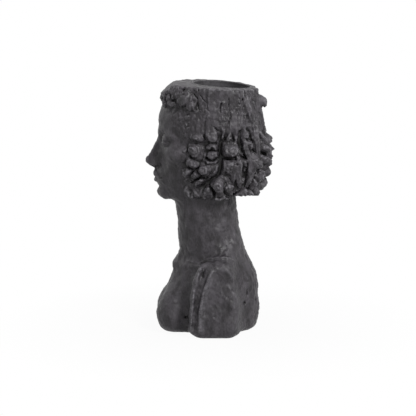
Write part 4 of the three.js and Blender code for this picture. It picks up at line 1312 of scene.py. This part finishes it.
def makeTab(foot):
    # Pull tab: a flat tongue with a round end and an eye, its edges rounded
    half, edge = plug["tabHalfWidth"] - plug["edge"], plug["edge"]
    shoulder = plug["tabHeight"] - plug["tabHalfWidth"]
    end = corner(0, shoulder, half, 0, 180, 24)
    flare = [(-half - out, z) for out, z in ((0.3, 3), (1.4, 1), (2, -1))]
    flare += [(-x, z) for x, z in flare[::-1]]
    ring = corner(0, shoulder, plug["eyeRadius"] + edge, 0, 360, 32)[:-1]
    line = bpy.data.curves.new("tab", "CURVE")
    line.dimensions = "2D"
    line.fill_mode = "BOTH"
    line.extrude = 0.001 * (plug["tabThickness"] / 2 - edge)
    line.bevel_depth = 0.001 * edge
    line.bevel_resolution = 2
    for outline in (end + flare, ring[::-1]):
        spline = line.splines.new("POLY")
        spline.points.add(len(outline) - 1)
        spline.use_cyclic_u = True
        for point, (x, z) in zip(spline.points, outline):
            point.co = (0.001 * x, 0.001 * z, 0, 1)
    shape = addObject("tab", line)
    mesh = evaluated(shape)
    bpy.data.objects.remove(shape)
    form = bmesh.new()
    form.from_mesh(mesh)
    bmesh.ops.remove_doubles(form, verts=form.verts, dist=1e-6)
    for vert in form.verts:
        x, z, y = vert.co
        vert.co = (x + 0.001 * axisX, -y + 0.001 * (axisY + cup["behindAxis"]), z + 0.001 * foot)
    bmesh.ops.recalc_face_normals(form, faces=form.faces)
    form.to_mesh(mesh)
    form.free()
    return addObject("tab", mesh)


cupPiece, plugPiece = makeCup(), makePlug()
report("cup turned", cupPiece)
report("plug turned", plugPiece)


# Shader groups that several finishes share
def startGroup(name, inputs, outputs):
    group = bpy.data.node_groups.new(name, "ShaderNodeTree")
    kinds = {"value": "NodeSocketFloat", "colour": "NodeSocketColor", "vector": "NodeSocketVector"}
    for label, kind, start in inputs:
        socket = group.interface.new_socket(name=label, in_out="INPUT", socket_type=kinds[kind])
        socket.default_value = start
    for label, kind in outputs:
        group.interface.new_socket(name=label, in_out="OUTPUT", socket_type=kinds[kind])
    given, out = group.nodes.new("NodeGroupInput"), group.nodes.new("NodeGroupOutput")
    return group, given.outputs, out.inputs


def noise(tree, place, scale, detail=4, rough=0.55):
    node = tree.nodes.new("ShaderNodeTexNoise")
    node.inputs["Detail"].default_value = detail
    node.inputs["Roughness"].default_value = rough
    tree.links.new(place, node.inputs["Vector"])
    connect(tree, scale, node.inputs["Scale"])
    return node.outputs["Fac"]


def connect(tree, value, socket):
    if isinstance(value, (int, float, tuple)):
        socket.default_value = value
    else:
        tree.links.new(value, socket)


def sums(tree, kind, a, b=0, clamp=False):
    node = tree.nodes.new("ShaderNodeMath")
    node.operation = kind
    node.use_clamp = clamp
    connect(tree, a, node.inputs[0])
    connect(tree, b, node.inputs[1])
    return node.outputs[0]


def times(tree, a, b, clamp=False):
    return sums(tree, "MULTIPLY", a, b, clamp)


def plus(tree, a, b, clamp=False):
    return sums(tree, "ADD", a, b, clamp)


def spread(tree, value, low, high, outLow=0, outHigh=1):
    node = tree.nodes.new("ShaderNodeMapRange")
    connect(tree, value, node.inputs["Value"])
    for name, number in (("From Min", low), ("From Max", high), ("To Min", outLow), ("To Max", outHigh)):
        connect(tree, number, node.inputs[name])
    return node.outputs["Result"]


def blendColours(tree, share, a, b):
    node = tree.nodes.new("ShaderNodeMix")
    node.data_type = "RGBA"
    connect(tree, share, node.inputs["Factor"])
    connect(tree, a, node.inputs["A"])
    connect(tree, b, node.inputs["B"])
    return node.outputs["Result"]


def makeMottling():
    # Patches of two greys, broad ones with fine ones in them
    group, given, out = startGroup("mottling", [
        ("Place", "vector", (0, 0, 0)), ("Patch Size", "value", 0.02), ("Contrast", "value", 0.5),
        ("Dark", "colour", (0.02, 0.02, 0.02, 1)), ("Pale", "colour", (0.05, 0.05, 0.05, 1)),
    ], [("Colour", "colour"), ("Share", "value")])
    scale = sums(group, "DIVIDE", 1, given["Patch Size"])
    broad = noise(group, given["Place"], scale, 3)
    fine = noise(group, given["Place"], times(group, scale, 5.3), 5, 0.65)
    both = plus(group, times(group, broad, 0.6), times(group, fine, 0.4))
    swing = times(group, sums(group, "SUBTRACT", both, 0.5), times(group, given["Contrast"], 5))
    share = plus(group, swing, 0.5, clamp=True)
    group.links.new(blendColours(group, share, given["Dark"], given["Pale"]), out["Colour"])
    group.links.new(share, out["Share"])
    return group


def makeGrain():
    # Fine tooth of the casting, low lumps, and pinholes left by air
    group, given, out = startGroup("grain", [
        ("Place", "vector", (0, 0, 0)), ("Grain Size", "value", 0.0012), ("Pinholes", "value", 0.4),
    ], [("Height", "value")])
    scale = sums(group, "DIVIDE", 1, given["Grain Size"])
    fine = noise(group, given["Place"], scale, 3, 0.6)
    lumps = noise(group, given["Place"], times(group, scale, 0.22), 2)
    cells = group.nodes.new("ShaderNodeTexVoronoi")
    group.links.new(given["Place"], cells.inputs["Vector"])
    group.links.new(times(group, scale, 0.3), cells.inputs["Scale"])
    holes = spread(group, cells.outputs["Distance"], 0.02, 0.16, -1, 0)
    pits = times(group, holes, given["Pinholes"])
    height = plus(group, plus(group, fine, times(group, lumps, 1.6)), pits)
    group.links.new(height, out["Height"])
    return group


def makeDusting():
    # Pale colour in patches: painted highlight and dust on ridges, and dust on what faces up
    group, given, out = startGroup("highlightsAndDust", [
        ("Colour", "colour", (0.04, 0.04, 0.04, 1)), ("Dust", "colour", (0.12, 0.12, 0.12, 1)),
        ("Place", "vector", (0, 0, 0)), ("Ridges", "value", 0), ("Upward", "value", 0.3),
        ("Amount", "value", 0.5),
    ], [("Colour", "colour"), ("Share", "value")])
    facing = group.nodes.new("ShaderNodeNewGeometry")
    apart = group.nodes.new("ShaderNodeSeparateXYZ")
    group.links.new(facing.outputs["Normal"], apart.inputs["Vector"])
    up = times(group, spread(group, apart.outputs["Z"], 0.0, 1.0), given["Upward"])
    patch = spread(group, noise(group, given["Place"], 160, 4, 0.6), 0.35, 0.75)
    gathered = times(group, plus(group, given["Ridges"], up), patch)
    share = times(group, gathered, given["Amount"], clamp=True)
    group.links.new(blendColours(group, share, given["Colour"], given["Dust"]), out["Colour"])
    group.links.new(share, out["Share"])
    return group


groups = {"mottling": makeMottling(), "grain": makeGrain(), "highlightsAndDust": makeDusting()}


def place(tree, name, **values):
    node = tree.nodes.new("ShaderNodeGroup")
    node.node_tree = groups[name]
    for label, value in values.items():
        connect(tree, value, node.inputs[label.replace("_", " ")])
    return node


def grey(level, warmth=0.0):
    return (level * (1 + warmth), level, level * (1 - warmth), 1)


castResin = {
    "dark": (0.0185, 0.0164, 0.0186, 1),
    "pale": (0.0565, 0.0515, 0.0585, 1),
    "shade": (0.0035, 0.003, 0.003, 1),
    # pale colour for dust and wear, and for the painted highlights on ridges, edges and the arm's rubbed
    # slope
    "dustAndHighlight": (0.155, 0.148, 0.162, 1),
    "patchSize": 0.013,
    "stretch": (1, 1, 0.5),  # streaks run upright
    "contrast": 1.05,
    "grainSize": 0.0011,
    "pinholes": 0.5,
    "bump": 0.38,
    "bumpDepth": 0.0004,
    "roughness": (0.4, 0.58),
    # Share of clay round a place, above a flat one's, where shade starts and where it is full
    "fineShade": (0.06, 0.3),
    "broadShade": (0.09, 0.27),
    # where the pale colour on ridges and edges starts, is full and how strong: painted highlight as well as
    # dust and wear
    "ridgeWearAndHighlight": (-0.05, -0.22),
    "ridgeDust": 0.75,
    "edgeWearAndHighlight": (-0.05, -0.2),
    "edgeDust": 0.4,
    "grime": 0.42,
    # pale on the arm's rubbed slope: painted highlight and wear
    "rubbedDust": 0.55,
    "upwardDust": 0.15,
    "specular": 0.3,
}


def startMaterial(name):
    material = bpy.data.materials.new(name)
    material.use_nodes = True
    tree = material.node_tree
    shader = next(node for node in tree.nodes if node.type == "BSDF_PRINCIPLED")
    where = tree.nodes.new("ShaderNodeTexCoord").outputs["Object"]
    return material, tree, shader, where


def addBump(tree, shader, height, strength, distance):
    bump = tree.nodes.new("ShaderNodeBump")
    bump.inputs["Strength"].default_value = strength
    bump.inputs["Distance"].default_value = distance
    tree.links.new(height, bump.inputs["Height"])
    tree.links.new(bump.outputs["Normal"], shader.inputs["Normal"])


def finishCasting(name, look, masked=True):
    material, tree, shader, where = startMaterial(name)
    drawnOut = tree.nodes.new("ShaderNodeVectorMath")
    drawnOut.operation = "MULTIPLY"
    tree.links.new(where, drawnOut.inputs[0])
    drawnOut.inputs[1].default_value = look["stretch"]
    mottled = place(tree, "mottling", Place=drawnOut.outputs["Vector"], Patch_Size=look["patchSize"],
                    Contrast=look["contrast"], Dark=look["dark"], Pale=look["pale"])
    colour, ridges = mottled.outputs["Colour"], 0
    if masked:
        colour, ridges = shadeHighlightAndWear(tree, look, colour)
    # dust on what faces up, and on ridges and edges a pale colour that is painted highlight as well as dust
    dustedAndHighlighted = place(tree, "highlightsAndDust", Colour=colour, Dust=look["dustAndHighlight"], Place=where, Ridges=ridges,
                   Upward=look["upwardDust"], Amount=1.0)
    tree.links.new(dustedAndHighlighted.outputs["Colour"], shader.inputs["Base Color"])
    rough = spread(tree, mottled.outputs["Share"], 0, 1, *look["roughness"])
    tree.links.new(rough, shader.inputs["Roughness"])
    shader.inputs["Specular IOR Level"].default_value = look["specular"]
    grain = place(tree, "grain", Place=where, Grain_Size=look["grainSize"], Pinholes=look["pinholes"])
    addBump(tree, shader, grain.outputs["Height"], look["bump"], look["bumpDepth"])
    return material


# Painted shade in the hollows, and on ridges, edges and the arm's rubbed slope a pale colour that is
# painted highlight as well as dust and wear
def shadeHighlightAndWear(tree, look, colour):
    lie = {}
    for mask in ("fine", "broad", "grime", "rubbedAndLit"):
        node = tree.nodes.new("ShaderNodeAttribute")
        node.attribute_name = mask
        lie[mask] = node.outputs["Fac"]
    hollow = spread(tree, lie["fine"], *look["fineShade"])
    deep = plus(tree, hollow, spread(tree, lie["broad"], *look["broadShade"]), clamp=True)
    colour = blendColours(tree, times(tree, lie["grime"], look["grime"]), colour, look["shade"])
    # painted shade in the hollows
    colour = blendColours(tree, deep, colour, look["shade"])
    # pale on edges and ridges: painted highlight, also dust and wear
    edges = spread(tree, lie["broad"], *look["edgeWearAndHighlight"], 0, look["edgeDust"])
    ridges = spread(tree, lie["fine"], *look["ridgeWearAndHighlight"], 0, look["ridgeDust"])
    # pale on the arm's rubbed slope: painted highlight and wear
    rubbedAndLit = times(tree, lie["rubbedAndLit"], look["rubbedDust"])
    return colour, plus(tree, plus(tree, edges, ridges), rubbedAndLit)


# a little paler than the bust's resin: painted light against the shade inside the cup
cupResin = {**castResin, "dark": (0.027, 0.026, 0.028, 1), "pale": (0.06, 0.0575, 0.0625, 1),
            "pinholes": 0.3, "bump": 0.3, "roughness": (0.5, 0.66), "upwardDust": 0.5, "patchSize": 0.03}
plateResin = {**castResin, "dark": grey(0.02), "pale": grey(0.036), "upwardDust": 0.0,
              "roughness": (0.7, 0.85)}
plugRubber = {**castResin, "dark": grey(0.012), "pale": grey(0.02), "pinholes": 0.0, "bump": 0.12,
              "roughness": (0.6, 0.75), "patchSize": 0.006, "upwardDust": 0.3}
padFoam = {**castResin, "dark": grey(0.016), "pale": grey(0.03), "pinholes": 1.5, "grainSize": 0.0006,
           "bump": 0.7, "roughness": (0.9, 1.0), "upwardDust": 0.0}


def dress(thing, material):
    thing.data.materials.clear()  # joining its tab leaves an empty slot on the plug
    thing.data.materials.append(material)


dress(bust, finishCasting("cast resin", castResin))
dress(cupPiece, finishCasting("cup resin", cupResin, masked=False))
dress(plugPiece, finishCasting("plug rubber", plugRubber, masked=False))
dress(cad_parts["base_plate"], finishCasting("plate resin", plateResin, masked=False))
foam = finishCasting("pad foam", padFoam, masked=False)
for end in ("front", "left", "back", "right"):
    dress(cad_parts[f"foot_pad_{end}"], foam)
print("finishes made")


# Floor, world and lamps
studio = {
    "world": 0.21,
    "floorColour": 0.5,
    "floorHalf": 6,
    "floorWhite": (0.95, 1),  # share of plain white that the camera sees in the floor, near and far
    "floorReach": (0.1, 0.4),
    "lamps": [
        {"name": "key", "at": (2.2, 1.6, 2.4), "size": 0.8, "power": 116},
        {"name": "fill", "at": (2.6, -0.9, 1.6), "size": 1.8, "power": 5},
        {"name": "front", "at": (-1.1, -2.3, 1.3), "size": 1.2, "power": 7},
    ],
    "lookAt": (0, 0, 0.25),
}


def cameraSees(tree):
    paths = tree.nodes.new("ShaderNodeLightPath")
    seen = sums(tree, "MAXIMUM", paths.outputs["Is Camera Ray"], paths.outputs["Is Glossy Ray"])
    return sums(tree, "MAXIMUM", seen, paths.outputs["Is Transmission Ray"])


def makeWorld():
    world = bpy.data.worlds.new("studio")
    bpy.context.scene.world = world
    world.use_nodes = True
    tree = world.node_tree
    ground = next(node for node in tree.nodes if node.type == "BACKGROUND")
    ground.inputs["Color"].default_value = (1, 1, 1, 1)
    strength = spread(tree, cameraSees(tree), 0, 1, studio["world"], 1)
    tree.links.new(strength, ground.inputs["Strength"])


def makeFloor():
    mesh = bpy.data.meshes.new("floor")
    r = studio["floorHalf"]
    mesh.from_pydata([(-r, -r, 0), (r, -r, 0), (r, r, 0), (-r, r, 0)], [], [(0, 1, 2, 3)])
    floor = addObject("floor", mesh)
    material, tree, shader, where = startMaterial("floor")
    shader.inputs["Base Color"].default_value = grey(studio["floorColour"])
    shader.inputs["Roughness"].default_value = 0.9
    white = tree.nodes.new("ShaderNodeEmission")
    both = tree.nodes.new("ShaderNodeMixShader")
    away = tree.nodes.new("ShaderNodeVectorMath")
    away.operation = "LENGTH"
    tree.links.new(where, away.inputs[0])
    share = spread(tree, away.outputs["Value"], *studio["floorReach"], *studio["floorWhite"])
    tree.links.new(times(tree, cameraSees(tree), share), both.inputs["Fac"])
    tree.links.new(shader.outputs["BSDF"], both.inputs[1])
    tree.links.new(white.outputs["Emission"], both.inputs[2])
    out = next(node for node in tree.nodes if node.type == "OUTPUT_MATERIAL")
    tree.links.new(both.outputs["Shader"], out.inputs["Surface"])
    mesh.materials.append(material)


def makeLamps():
    for lamp in studio["lamps"]:
        light = bpy.data.lights.new(lamp["name"], "AREA")
        light.size = lamp["size"]
        light.energy = lamp["power"]
        thing = addObject(lamp["name"], light)
        thing.location = lamp["at"]
        away = Vector(lamp["at"]) - Vector(studio["lookAt"])
        thing.rotation_euler = away.to_track_quat("Z", "Y").to_euler()


makeWorld()
makeFloor()
makeLamps()
bpy.context.scene.view_settings.view_transform = "Standard"
